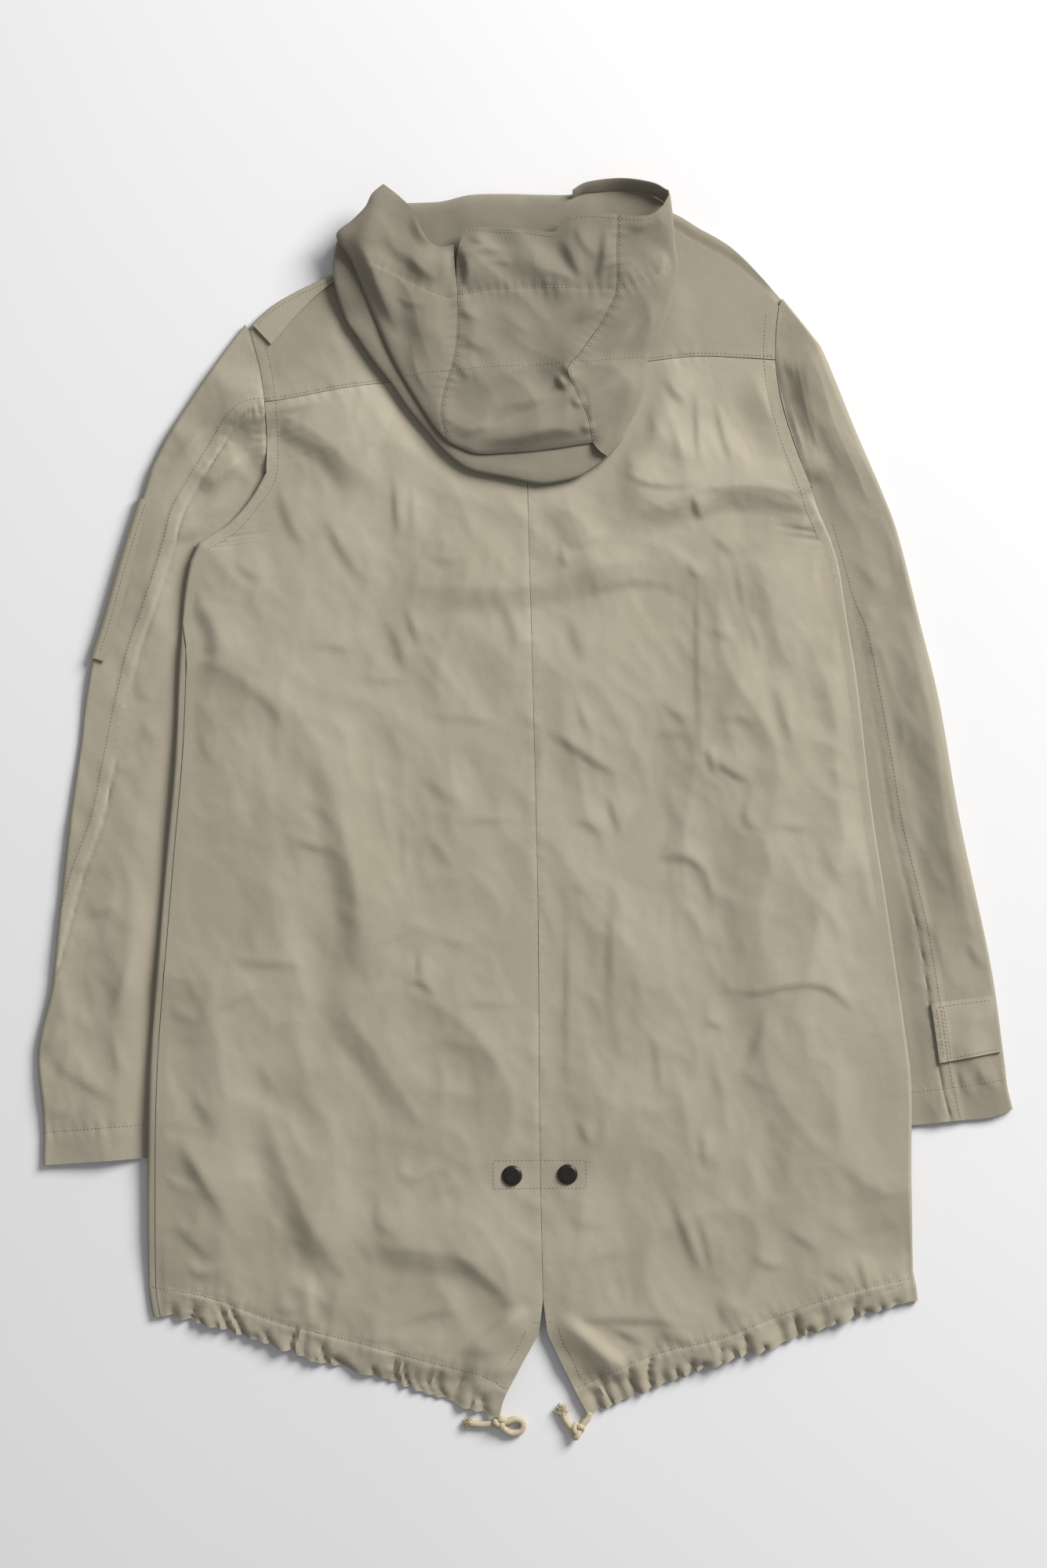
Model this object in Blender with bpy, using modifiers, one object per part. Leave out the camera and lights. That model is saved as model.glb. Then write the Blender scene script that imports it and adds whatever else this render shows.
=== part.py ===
"""A fishtail parka in cotton twill, laid flat on its front with its back up.

+X points to the wearer's right sleeve, +Y to the hood, +Z up from the floor at z = 0. Every
piece is a wall of cloth with its own outline. Lengths in the tables are millimetres. A piece
starts as a flat grid whose points hold (u, v), the shares of its width and length; each point
is then carried to its place on the laid-out garment.
"""
import math
from collections import namedtuple

import bmesh
import bpy
import numpy as np

MM = 0.001
CLOTH = 1.2                 # one layer of the twill
SEAM = 0.3                  # left between two pieces at a seam
STRAP = 1.8                 # a strap is two layers, pressed flat
CENTRE = (0.2, 0.37)        # middle of the outline, moved to the origin

SHOULDER_INSET = 3.5        # shoulder seam inside the outline, where the straps turn
LAYER_RISE = 3.0            # back's middle surface above the front's
SLEEVE_RISE = 3.2           # sleeve's upper wall above its lower wall
SLEEVE_LIFT = 5.4           # what a hidden sleeve raises the front that lies on it
SLEEVE_RAMP = 70.0          # over which the front comes down again
STRAP_LIFT = 2.3            # what a shoulder strap raises the front that lies on it
FLOOR = CLOTH / 2           # middle surface of cloth that lies on the floor

PIT_TOP_LEFT, PIT_TOP_RIGHT = 262.0, 250.0      # y where a sleeve goes under the body
CUFF_LEFT, CUFF_RIGHT = -291.0, -262.0

TWILL = (0.42, 0.37, 0.27, 1.0)
TWILL_SHADE = (0.36, 0.315, 0.225, 1.0)
SNAP_BROWN = (0.02, 0.016, 0.014, 1.0)
CORD_CREAM = (0.62, 0.54, 0.36, 1.0)


# ---- outlines, seen from above ----------------------------------------------------------

YOKE_ARMHOLE_LEFT = ((-221, 376), (-213, 346), (-208.5, 318.5))
ARMHOLE_LEFT = ((-208.5, 317.8), (-207.5, 290), (-208, 262))
PIT_LEFT = ((-208, 262), (-219, 243), (-238, 221), (-262, 206))
YOKE_ARMHOLE_RIGHT = ((203.8, 396.5), (201.5, 376), (201, 353.2))
ARMHOLE_RIGHT = ((201, 352.5), (204.5, 325), (214, 291), (229, 250))
PIT_RIGHT = ((229, 250), (233, 237), (239, 223), (245, 209))

EDGE_LEFT = ((-262, 206), (-269, 190), (-274, 160), (-278, 105), (-281, 34), (-288, -45),
             (-295, -130), (-301, -210), (-303, -300), (-303, -392))
EDGE_RIGHT = ((245, 209), (252, 186), (259, 140), (267, 91), (278, -5), (290, -83),
              (305, -187), (310, -230), (310, -303), (312, -380))
HEM_END_LEFT = ((-303, -392), (-301.5, -405), (-299, -417))
HEM_END_RIGHT = ((312, -380), (314.5, -392), (316, -404))

CENTRE_BACK = ((2, 345), (2, 253), (9.8, -51), (11.7, -259), (14.8, -422.7))
SLIT_LEFT = ((14.8, -422.7), (-14, -475.7), (-21, -495))
SLIT_RIGHT = ((14.8, -422.7), (40, -475), (51.5, -495))
HEM_LEFT = ((-299, -417), (-250, -429), (-204, -442), (-162, -456.5), (-122, -465),
            (-87, -477), (-34, -493.5), (-21, -495))
HEM_RIGHT = ((51.5, -495), (83, -483), (129, -466), (193, -448), (246, -431), (290, -418.5),
             (311, -413), (316, -404))

SHOULDER_LEFT = ((-223, 379), (-204, 396), (-184, 408), (-155, 422), (-120, 439), (-95, 448))
SHOULDER_RIGHT = ((98, 471), (120, 461), (137, 450.5), (164, 436), (189, 416), (206, 399))
BACK_NECK = ((-95, 448), (-60, 434), (0, 428), (60, 440), (98, 471))
YOKE_SEAM_LEFT = ((-208.5, 318.3), (-190, 321), (-150, 329), (-110, 335), (-50, 342),
                  (2, 345))
YOKE_SEAM_RIGHT = ((2, 345), (60, 349), (99, 352), (137, 356), (170, 355), (201, 353))

FRONT_NECK_LEFT = ((-95, 448), (-66, 412), (2, 392))
FRONT_NECK_RIGHT = ((2, 392), (70, 418), (98, 471))
CENTRE_FRONT = ((2, 392), (2, 253), (9.8, -51), (14, -405))
FRONT_HEM_LEFT = ((-299, -417), (-200, -414), (14, -405))
FRONT_HEM_RIGHT = ((14, -405), (200, -408), (316, -404))

SLEEVE_TOP_LEFT = ((-227.5, 374), (-220.8, 371))
SLEEVE_SHOULDER_LEFT = ((-227.5, 374), (-240, 361), (-262, 330), (-285, 295), (-300, 266))
SLEEVE_OUTER_LEFT = ((-300, 266), (-307, 243), (-322, 196), (-338, 140), (-349, 103),
                     (-357, 44), (-366, -19), (-375, -100), (-380, -150), (-389, -188),
                     (-391.5, -212), (-387, -259), (-387, -294.5))
SLEEVE_INNER_LEFT = ((-208.4, 262), (-206, 220), (-198, 160), (-188, 110), (-182, 60),
                     (-188, -20), (-205, -90), (-236, -190), (-257, -286))
CUFF_END_LEFT = ((-387, -294.5), (-303, -288.5), (-257, -286))
SLEEVE_TOP_RIGHT = ((211, 395), (203.7, 391))
SLEEVE_SHOULDER_RIGHT = ((211, 395), (231, 371), (240, 356), (265, 296), (278, 266))
SLEEVE_OUTER_RIGHT = ((278, 266), (285, 250), (299, 213), (316, 145), (332, 79), (349, -19),
                      (373, -130), (384, -206), (387, -231), (391.5, -249.5))
SLEEVE_INNER_RIGHT = ((229.4, 250), (225, 212), (208, 165), (190, 115), (178, 60),
                      (184, -20), (206, -110), (236, -190), (262, -266))
CUFF_END_RIGHT = ((391.5, -249.5), (374, -256), (342, -259), (310, -262.5), (262, -266))
CUFF_STRAP = (((326.0, -164.0), (376.0, -157.5)), ((333.0, -212.0), (382.0, -203.0)))

HOOD_OUTLINE = ((-113, 490), (-122, 483), (-127, 472), (-138, 462), (-150, 449), (-154, 421),
                (-145, 387), (-135, 371), (-122, 352), (-107, 333), (-94, 314), (-78, 295),
                (-63, 278), (-44, 264.5), (-12, 257.5), (7, 253.5), (19, 253.5), (41, 258),
                (54, 265.5), (66, 274), (76, 286), (82, 299), (90, 314), (96, 333), (98, 352),
                (107, 371), (115, 393), (121, 421), (121.5, 430), (119, 447), (118, 460),
                (115.5, 483), (101, 491), (76, 495), (50, 493), (38, 486), (-12, 485),
                (-44, 484), (-66, 479), (-85, 478), (-92, 476), (-101, 485))

HOOD_FOLD = ((-151, 449.5), (-138, 430), (-122, 390), (-107, 355), (-91, 327), (-73, 299),
             (-62, 287))
HOOD_FOLD_FOOT = ((-62, 287), (-50, 281), (-37, 277), (-12, 278), (13, 280), (54, 286))
HOOD_LIP_LEFT = ((-113, 490), (-100, 480), (-90, 470), (-83, 455), (-76, 445), (-67, 441),
                 (-57, 443))
HOOD_LIP_CROWN = ((-49, 455.5), (-37, 457), (-22, 455.5), (0, 455), (23, 453), (29, 462),
                  (38, 466), (51, 467.5), (73.5, 466))
HOOD_LIP_RIGHT = ((73.5, 466), (92, 464.5), (101, 466), (108, 471), (112, 477), (115, 483))
HOOD_SEAM_LEFT = ((-57, 443), (-56, 425), (-54, 399), (-56, 358), (-63, 333), (-67, 310),
                  (-62, 287))
HOOD_SEAM_LEFT_CROWN = ((-49, 455.5), (-54, 436), (-55, 420), (-54, 399), (-56, 358),
                        (-63, 333), (-67, 310), (-62, 287))
HOOD_SEAM_RIGHT = ((73.5, 466), (73, 440), (73, 408), (64, 386), (45, 358), (34, 344),
                   (40, 328), (50, 305), (54, 286))
HOOD_SIDE_LEFT = ((-113, 490), (-122, 482), (-127, 472), (-138, 461), (-150.5, 449.5))
HOOD_SIDE_RIGHT = ((115, 483), (118, 460), (119, 447), (121.5, 430), (121, 420), (115, 393),
                   (107, 371), (98, 352), (96, 333), (90, 314), (82, 299), (76, 286),
                   (66, 274.5))
HOOD_FOOT_RIGHT = ((54, 286), (59, 279), (66, 274.5))
HOOD_RIM = ((38, 486.7), (50, 493), (76, 495.5), (101, 491.5), (112, 486))
HOOD_UNDER_TOP = ((-127, 472), (-100, 477), (-85, 478), (-66, 479), (-44, 484), (-12, 485),
                  (38, 484.3), (50, 491.2), (76, 494.1), (101, 490), (110, 484.8),
                  (115.5, 483))


# ---- the largest folds: a crest, its rise, and the width of the slope on either hand ------

Fold = namedtuple("Fold", "crest rise left right")

BODY_FOLDS = (
    Fold(((-262, 296), (-235, 306), (-205, 310), (-178, 300), (-155, 284), (-135, 264),
          (-112, 256)), 9, 45, 17),
    Fold(((-266, 192), (-262, 165), (-250, 140), (-246, 118), (-252, 90)), 4, 18, 10),
    Fold(((-105, 182), (-85, 172), (-30, 170), (0, 170), (60, 188), (95, 190), (130, 182)),
         6, 30, 17),
    Fold(((-172, 60), (-158, 20), (-138, -60), (-133, -100), (-128, -128), (-100, -150)),
         6, 30, 16),
    Fold(((-160, -140), (-140, -175), (-118, -205), (-100, -235), (-75, -270)), 5, 28, 17),
    Fold(((-212, -240), (-196, -285), (-180, -325), (-160, -362), (-145, -385)), 8, 30, 17),
    Fold(((-140, -352), (-110, -358), (-75, -362), (-45, -370), (-15, -390)), 6, 35, 17),
    Fold(((62, 215), (92, 230), (120, 240), (150, 250), (185, 251), (212, 243), (232, 225),
          (244, 205)), 9, 30, 17),
    Fold(((180, 345), (192, 318), (205, 292), (222, 268)), 6, 14, 18),
    Fold(((186, 200), (196, 160), (205, 125), (215, 95)), 4, 25, 14),
    Fold(((290, -160), (301, -215), (302, -260), (302, -330), (303, -375)), 6, 12, 24),
    Fold(((8, -412), (-10, -418), (-30, -434), (-52, -450)), 4, 14, 10),
    Fold(((22, -416), (48, -432), (66, -448), (86, -456)), 4, 10, 14),
)
SLEEVE_FOLDS = (
    Fold(((-210, 318), (-240, 309), (-262, 294), (-284, 268)), 5, 12, 16),
    Fold(((-262, 248), (-243, 261), (-222, 277)), 5, 14, 12),
    Fold(((-293, -72), (-308, -108), (-322, -145), (-333, -178)), 6, 12, 22),
    Fold(((216, 382), (236, 338), (248, 300), (266, 262), (280, 226)), 7, 22, 18),
    Fold(((296, 184), (304, 145), (316, 105), (328, 50), (335, 0), (344, -60), (354, -130)),
         7, 18, 20),
)
HOOD_FOLDS = (
    Fold(((-120, 470), (-128, 440), (-112, 405), (-95, 375)), 5, 24, 16),
    Fold(((-92, 452), (-80, 400), (-78, 350)), 4, 20, 20),
    Fold(((116, 435), (98, 410), (70, 385), (45, 362), (15, 335)), 7, 16, 26),
    Fold(((95, 350), (60, 325), (20, 303), (-15, 289), (-38, 283)), 7, 22, 14),
    Fold(((-20, 440), (20, 420), (40, 400)), 3, 20, 20),
)

# strength of the hem's gathers along the back, by their place across it
Gather = namedtuple("Gather", "x strength")
GATHERS = (Gather(-300, 0.3), Gather(-270, 1.0), Gather(-235, 0.9), Gather(-215, 0.4),
           Gather(-182, 1.0), Gather(-160, 0.9), Gather(-140, 0.3), Gather(-105, 0.6),
           Gather(-70, 1.0), Gather(-40, 0.7), Gather(-22, 0.3), Gather(52, 0.5),
           Gather(80, 1.0), Gather(105, 1.0), Gather(130, 0.4), Gather(175, 0.6),
           Gather(218, 1.0), Gather(262, 1.0), Gather(290, 0.6), Gather(314, 0.3))
GATHER_RISE = 1.6


# ---- curves ------------------------------------------------------------------------------

def smooth(points, steps=8):
    """A rounded line through the points, as an array."""
    p = np.array(points, dtype=float)
    ends = np.vstack((2 * p[0] - p[1], p, 2 * p[-1] - p[-2]))
    line = []
    for a, b, c, d in zip(ends, ends[1:], ends[2:], ends[3:]):
        for t in np.arange(steps) / steps:
            line.append(0.5 * (2 * b + (c - a) * t + (2 * a - 5 * b + 4 * c - d) * t ** 2
                               + (3 * b - a - 3 * c + d) * t ** 3))
    line.append(p[-1])
    return np.array(line)


def at(line, share):
    """Points at the given shares of a line's length."""
    run = np.hypot(*np.diff(line[:, :2], axis=0).T)
    far = np.concatenate(([0.0], np.cumsum(run)))
    where = np.asarray(share) * far[-1]
    return np.column_stack([np.interp(where, far, line[:, k]) for k in range(line.shape[1])])


def aside(line, distance):
    """The line moved sideways, to the left of its direction."""
    way = np.gradient(line, axis=0)
    way /= np.hypot(way[:, 0], way[:, 1])[:, None]
    return line + distance * np.column_stack((-way[:, 1], way[:, 0]))


def joined(share, *runs):
    """Points along a side made of several lines: runs are (share where it ends, line)."""
    out = np.zeros((len(share), 2))
    start = 0.0
    for end, line in runs:
        here = (share >= start - 1e-9) & (share <= end + 1e-9)
        out[here] = at(line, (share[here] - start) / (end - start))
        start = end
    return out


def ease(a, b, x):
    """Rises smoothly from 0 at a to 1 at b."""
    t = np.clip((x - a) / (b - a), 0, 1)
    return t * t * (3 - 2 * t)


def nearest(line, x, y):
    """Distance to a line, the side it is on (left positive) and the share along it."""
    p = np.column_stack((x, y))[:, None, :]
    a, b = line[:-1], line[1:]
    way = b - a
    size = (way ** 2).sum(1)
    t = np.clip(((p - a) * way).sum(2) / size, 0, 1)
    gap = p - (a + t[:, :, None] * way)
    far = np.hypot(gap[:, :, 0], gap[:, :, 1])
    best = far.argmin(1)
    row = np.arange(len(x))
    turn = way[best, 0] * gap[row, best, 1] - way[best, 1] * gap[row, best, 0]
    run = np.concatenate(([0.0], np.cumsum(np.sqrt(size))))
    share = (run[best] + t[row, best] * np.sqrt(size[best])) / run[-1]
    return far[row, best], np.sign(turn), share


def raised(folds, x, y):
    """Height of a set of folds: each is a ridge with its own slope on either hand."""
    total = np.zeros(len(x))
    for fold in folds:
        far, side, share = nearest(smooth(fold.crest, 4), x, y)
        reach = np.where(side > 0, fold.left, fold.right)
        bump = 0.5 + 0.5 * np.cos(math.pi * np.clip(far / reach, 0, 1))
        total += fold.rise * bump * ease(-0.02, 0.2, share) * (1 - ease(0.8, 1.02, share))
    return total


def inside(line, x, y):
    """True for points inside a closed outline."""
    count = np.zeros(len(x), dtype=int)
    for (ax, ay), (bx, by) in zip(line, np.roll(line, -1, axis=0)):
        crosses = (ay > y) != (by > y)
        rise = by - ay if by != ay else 1e-9
        count += crosses & (x < ax + (y - ay) * (bx - ax) / rise)
    return count % 2 == 1


def x_of(*lines):
    """The x of an edge as a function of y, for an edge that runs down the garment."""
    line = np.vstack([smooth(points) for points in lines])
    order = line[:, 1].argsort()
    return lambda y: np.interp(y, line[order, 1], line[order, 0])


left_x = x_of(YOKE_ARMHOLE_LEFT, ARMHOLE_LEFT, PIT_LEFT, EDGE_LEFT, HEM_END_LEFT)
right_x = x_of(YOKE_ARMHOLE_RIGHT, ARMHOLE_RIGHT, PIT_RIGHT, EDGE_RIGHT, HEM_END_RIGHT)
sleeve_inner_left_x = x_of(SLEEVE_INNER_LEFT)
sleeve_inner_right_x = x_of(SLEEVE_INNER_RIGHT)
SLEEVE_RIM = smooth(SLEEVE_OUTER_LEFT)
HOOD_LINE = smooth(HOOD_OUTLINE + HOOD_OUTLINE[:1], 4)
SHOULDERS = (smooth(SHOULDER_LEFT), smooth(SHOULDER_RIGHT))


# ---- heights of the layers ---------------------------------------------------------------

def shoulder_distance(x, y):
    return np.minimum(*(nearest(line, x, y)[0] for line in SHOULDERS))


def strap_rise(x, y):
    """What the shoulder straps, lying under the shoulders, raise the layers above them."""
    return STRAP_LIFT * (1 - ease(55, 120, shoulder_distance(x, y)))


def front_height(x, y):
    """Middle surface of the fronts: on the floor, and raised over sleeves and straps."""
    left = 1 - ease(4, 4 + SLEEVE_RAMP, x - sleeve_inner_left_x(y))
    left = left * ease(CUFF_LEFT - 118, CUFF_LEFT - 50, y)
    left = left * (1 - ease(PIT_TOP_LEFT + 2, PIT_TOP_LEFT + 42, y))
    right = 1 - ease(4, 4 + SLEEVE_RAMP, sleeve_inner_right_x(y) - x)
    right = right * ease(CUFF_RIGHT - 118, CUFF_RIGHT - 50, y)
    right = right * (1 - ease(PIT_TOP_RIGHT + 2, PIT_TOP_RIGHT + 42, y))
    return FLOOR + SLEEVE_LIFT * (left + right) + strap_rise(x, y)


def bare_back(x, y):
    """1 where the back shows, falling to 0 under the hood."""
    far = nearest(HOOD_LINE, x, y)[0]
    return np.where(inside(HOOD_LINE, x, y), 0, ease(3, 26, far))


def back_height(x, y):
    """Middle surface of the yoke and back, with their folds."""
    shoulder = shoulder_distance(x, y)
    closing = (LAYER_RISE - CLOTH - SEAM) * (1 - ease(30, 55, shoulder))
    fall = ease(0, 14, y + 470) * ease(0, 60, x - left_x(y)) * ease(0, 60, right_x(y) - x)
    puff = 2.5 * fall * bare_back(x, y) * (1 - ease(300, 360, y))
    folds = raised(BODY_FOLDS + SLEEVE_FOLDS, x, y) * bare_back(x, y)
    return front_height(x, y) + LAYER_RISE - closing + puff + folds * ease(30, 55, shoulder)


def sleeve_low(x, y):
    """Middle surface of a sleeve's lower wall: on the floor, and over the pocket's hem."""
    pocket = (x < 0) * ease(45, 70, y) * (1 - ease(280, 310, y))
    near = 1 - ease(50, 80, nearest(SLEEVE_RIM, x, y)[0])
    return FLOOR + strap_rise(x, y) + (CLOTH + 0.6) * pocket * near


def sleeve_height(x, y):
    """Middle surface of a sleeve's upper wall; it lies low where the body covers it."""
    left = ease(-28, -4, x - left_x(y)) * (x < 0) * (1 - ease(0, 26, y - PIT_TOP_LEFT))
    right = ease(-28, -4, right_x(y) - x) * (x > 0) * (1 - ease(0, 26, y - PIT_TOP_RIGHT))
    shoulder = shoulder_distance(x, y)
    rise = SLEEVE_RISE - 0.7 * (1 - ease(8, 60, shoulder))
    free = 1.6 * ease(8, 60, shoulder)
    free = free + raised(BODY_FOLDS + SLEEVE_FOLDS, x, y) * ease(30, 55, shoulder)
    return FLOOR + strap_rise(x, y) + rise + free * (1 - left - right)


def gathered(x, wave, depth):
    """Rise of the hem's gathers: wave turns by pi from one ridge to the next valley."""
    table = np.array(GATHERS)
    return GATHER_RISE * np.interp(x, table[:, 0], table[:, 1]) * np.cos(wave) * depth


# ---- pieces ------------------------------------------------------------------------------

def start_afresh():
    for thing in list(bpy.data.objects):
        bpy.data.objects.remove(thing, do_unlink=True)
    parka = bpy.data.collections.new("parka")
    bpy.context.scene.collection.children.link(parka)
    return parka


def finish(name, colour, roughness=0.85, metallic=0.0):
    material = bpy.data.materials.new(name)
    material.use_nodes = True
    shader = material.node_tree.nodes["Principled BSDF"]
    shader.inputs["Base Color"].default_value = colour
    shader.inputs["Roughness"].default_value = roughness
    shader.inputs["Metallic"].default_value = metallic
    return material


def add(name, bm, colour, wall=None, roughness=0.85):
    """Turns a bmesh whose points are in millimetres into a named object of the parka."""
    for vert in bm.verts:
        vert.co = ((vert.co.x - CENTRE[0]) * MM, (vert.co.y - CENTRE[1]) * MM, vert.co.z * MM)
    mesh = bpy.data.meshes.new(name)
    bm.to_mesh(mesh)
    bm.free()
    mesh.materials.append(finish(name, colour, roughness))
    mesh.shade_smooth()
    mesh.set_sharp_from_angle(angle=math.radians(60))
    piece = bpy.data.objects.new(name, mesh)
    PARKA.objects.link(piece)
    if wall:
        solid = piece.modifiers.new("cloth", "SOLIDIFY")
        solid.thickness = wall * MM
        solid.offset = 0.0
        solid.use_even_offset = True
        solid.use_quality_normals = True
    return piece


def panel(name, columns, rows, place, wall=CLOTH, colour=TWILL, finer=None, tube=None):
    """A wall of cloth: a grid of u by v whose points are carried to their place.

    finer = (v, u, cuts) splits the cross edges past v and u. tube = (v, first u, last u)
    joins the two long sides and leaves the strip between those u open as far as v.
    """
    bm = bmesh.new()
    bmesh.ops.create_grid(bm, x_segments=columns, y_segments=rows, size=0.5)
    if finer:
        low = [edge for edge in bm.edges
               if abs(edge.verts[0].co.y - edge.verts[1].co.y) < 1e-6
               and 0.5 - edge.verts[0].co.y > finer[0] - 1e-6
               and min(v.co.x for v in edge.verts) + 0.5 > finer[1] - 1e-6]
        bmesh.ops.subdivide_edges(bm, edges=low, cuts=finer[2], use_grid_fill=True)
    if tube:
        spots = [(face, face.calc_center_median()) for face in bm.faces]
        gone = [face for face, spot in spots
                if 0.5 - spot.y < tube[0] and tube[1] < spot.x + 0.5 < tube[2]]
        bmesh.ops.delete(bm, geom=gone, context="FACES")
    u = np.array([vert.co.x + 0.5 for vert in bm.verts])
    v = np.array([0.5 - vert.co.y for vert in bm.verts])
    for vert, point in zip(bm.verts, np.column_stack(place(u, v))):
        vert.co = point
    if tube:
        bmesh.ops.remove_doubles(bm, verts=bm.verts, dist=0.01)
    return add(name, bm, colour, wall)


def patch(u, v, top, foot, left, right):
    """Points of a surface between four sides; each side maps shares to points."""
    one = np.ones(1)
    corner = [top(one * 0)[0], top(one)[0], foot(one * 0)[0], foot(one)[0]]
    a, b = u[:, None], v[:, None]
    across = (1 - b) * top(u) + b * foot(u)
    along = (1 - a) * left(v) + a * right(v)
    flat = ((1 - a) * (1 - b) * corner[0] + a * (1 - b) * corner[1]
            + (1 - a) * b * corner[2] + a * b * corner[3])
    return across + along - flat


def side(*runs):
    """A side of a patch, from lines and the shares where each ends."""
    if len(runs) == 1:
        return lambda share: at(runs[0], share)
    pairs = list(zip(runs[1::2], runs[0::2]))
    return lambda share: joined(share, *pairs)


def edge_path(run, half):
    """Round a folded edge: inset from the edge and height above its middle.

    run is 0 where the lower layer starts to turn, pi * half where the upper layer is flat.
    """
    angle = np.clip(run / half, 0, math.pi)
    beyond = np.abs(run - angle * half)
    return half - half * np.sin(angle) + beyond, -half * np.cos(angle)


class BodySide:
    """One side of the body, where the back and a front meet round the edge.

    It is worked out at a few rows, and both pieces follow straight lines between them, so
    that they stay the width of a seam apart. hand is +1 for the left side of the picture.
    """

    def __init__(self, hand):
        self.hand = hand
        lines = (YOKE_ARMHOLE_LEFT, ARMHOLE_LEFT, PIT_LEFT, EDGE_LEFT, HEM_END_LEFT)
        pit_top = PIT_TOP_LEFT
        if hand < 0:
            lines = (YOKE_ARMHOLE_RIGHT, ARMHOLE_RIGHT, PIT_RIGHT, EDGE_RIGHT, HEM_END_RIGHT)
            pit_top = PIT_TOP_RIGHT
        spots = [at(smooth(line), np.arange(rows) / rows)
                 for line, rows in zip(lines, (2, 2, 2, 9, 1))]
        self.spots = np.vstack(spots + [np.array(lines[-1][-1:], dtype=float)])
        x, y = self.spots.T
        way = np.gradient(self.spots, axis=0)
        way /= np.hypot(*way.T)[:, None]
        self.into = hand * np.column_stack((-way[:, 1], way[:, 0]))
        self.into[[0, 1, SIDE_ROWS]] = (hand, 0)
        yoke = YOKE_SEAM_LEFT[:2] if hand > 0 else YOKE_SEAM_RIGHT[:-3:-1]
        self.into[2] = np.diff(yoke, axis=0)[0] / math.dist(*yoke)
        high, low = back_height(x + hand * 3, y), front_height(x + hand * 3, y)
        self.middle, self.half = (high + low) / 2, (high - low) / 2
        self.closed = 1 - ease(pit_top - 22, pit_top + 2, y)
        over = (1 - ease(112, 150, y)) * (hand > 0)
        self.seam = self.half * math.pi / 2 + over * (self.half * (math.pi / 2 - 1) + 5.5)

    def at_row(self, row, share, upper):
        """Points of the turned edge at whole rows."""
        half, seam, closed = self.half[row], self.seam[row], self.closed[row]
        level = 1 if upper else -1
        tilt = RIM_TILT + 0.45 * np.isin(row, (5, 6))
        start = seam + level * (SEAM / 2 + tilt)
        if upper:
            turned = np.maximum(start + 1.0, half * math.pi)
            leg = (share - BACK_TURN) / (1 - BACK_TURN)
            run = np.where(share < BACK_TURN, start + (turned - start) * share / BACK_TURN,
                           turned + EDGE_FLAT * leg)
        else:
            turned = np.minimum(half * math.pi, 0.8 * start)
            run = np.where(share < 0.2, start + (turned - start) * share / 0.2,
                           turned * (0.8 - share) / 0.6)
            run = np.where(share > 0.8, -EDGE_FLAT * (share - 0.8) / 0.2, run)
        inset, rise = edge_path(run, half)
        inset = closed * (inset + CLOTH / 2) + (1 - closed) * np.abs(run - seam)
        rise = closed * rise + (1 - closed) * level * half
        spots = self.spots[row] + inset[:, None] * self.into[row]
        return np.column_stack((spots, self.middle[row] + rise))

    def brim(self, r, share, upper):
        """Points of the turned edge: share 0 at the side seam, 1 where the panel is flat."""
        row = np.clip(np.floor(r + 1e-6).astype(int), 0, SIDE_ROWS - 1)
        part = (r - row)[:, None]
        points = ((1 - part) * self.at_row(row, share, upper)
                  + part * self.at_row(row + 1, share, upper))
        return points.T

    def armhole(self, r):
        """Points of the sleeve's side of the armhole."""
        x, y = (np.interp(r, np.arange(len(self.half)), values) for values in self.spots.T)
        return np.column_stack((x - self.hand * (SEAM + 0.1), y))


SIDE_ROWS = 16              # rows of the body's edge from the shoulder to the hem
BACK_COLUMNS, BACK_ROWS, BACK_BRIM = 16, 38, 3
FRONT_COLUMNS, FRONT_BRIM = 13, 5
BACK_TURN = 2 / 3           # share of the back's brim that is in the turn of the edge
EDGE_FLAT = 6.0             # flat cloth at the end of a brim
RIM_TILT = 0.12             # more gap where the cloth's cut rims lean to each other
HEM_CUTS = 3                # each column of the back is split so often for the gathers


def trimmed(line, start):
    """The part of a line from a distance past its start."""
    length = np.hypot(*np.diff(line, axis=0).T).sum()
    return at(line, np.linspace(start / length, 1, len(line)))


BodyPanel = namedtuple("BodyPanel", "name hand upper top foot centre columns rows brim "
                                    "row_marks centre_marks")


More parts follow.
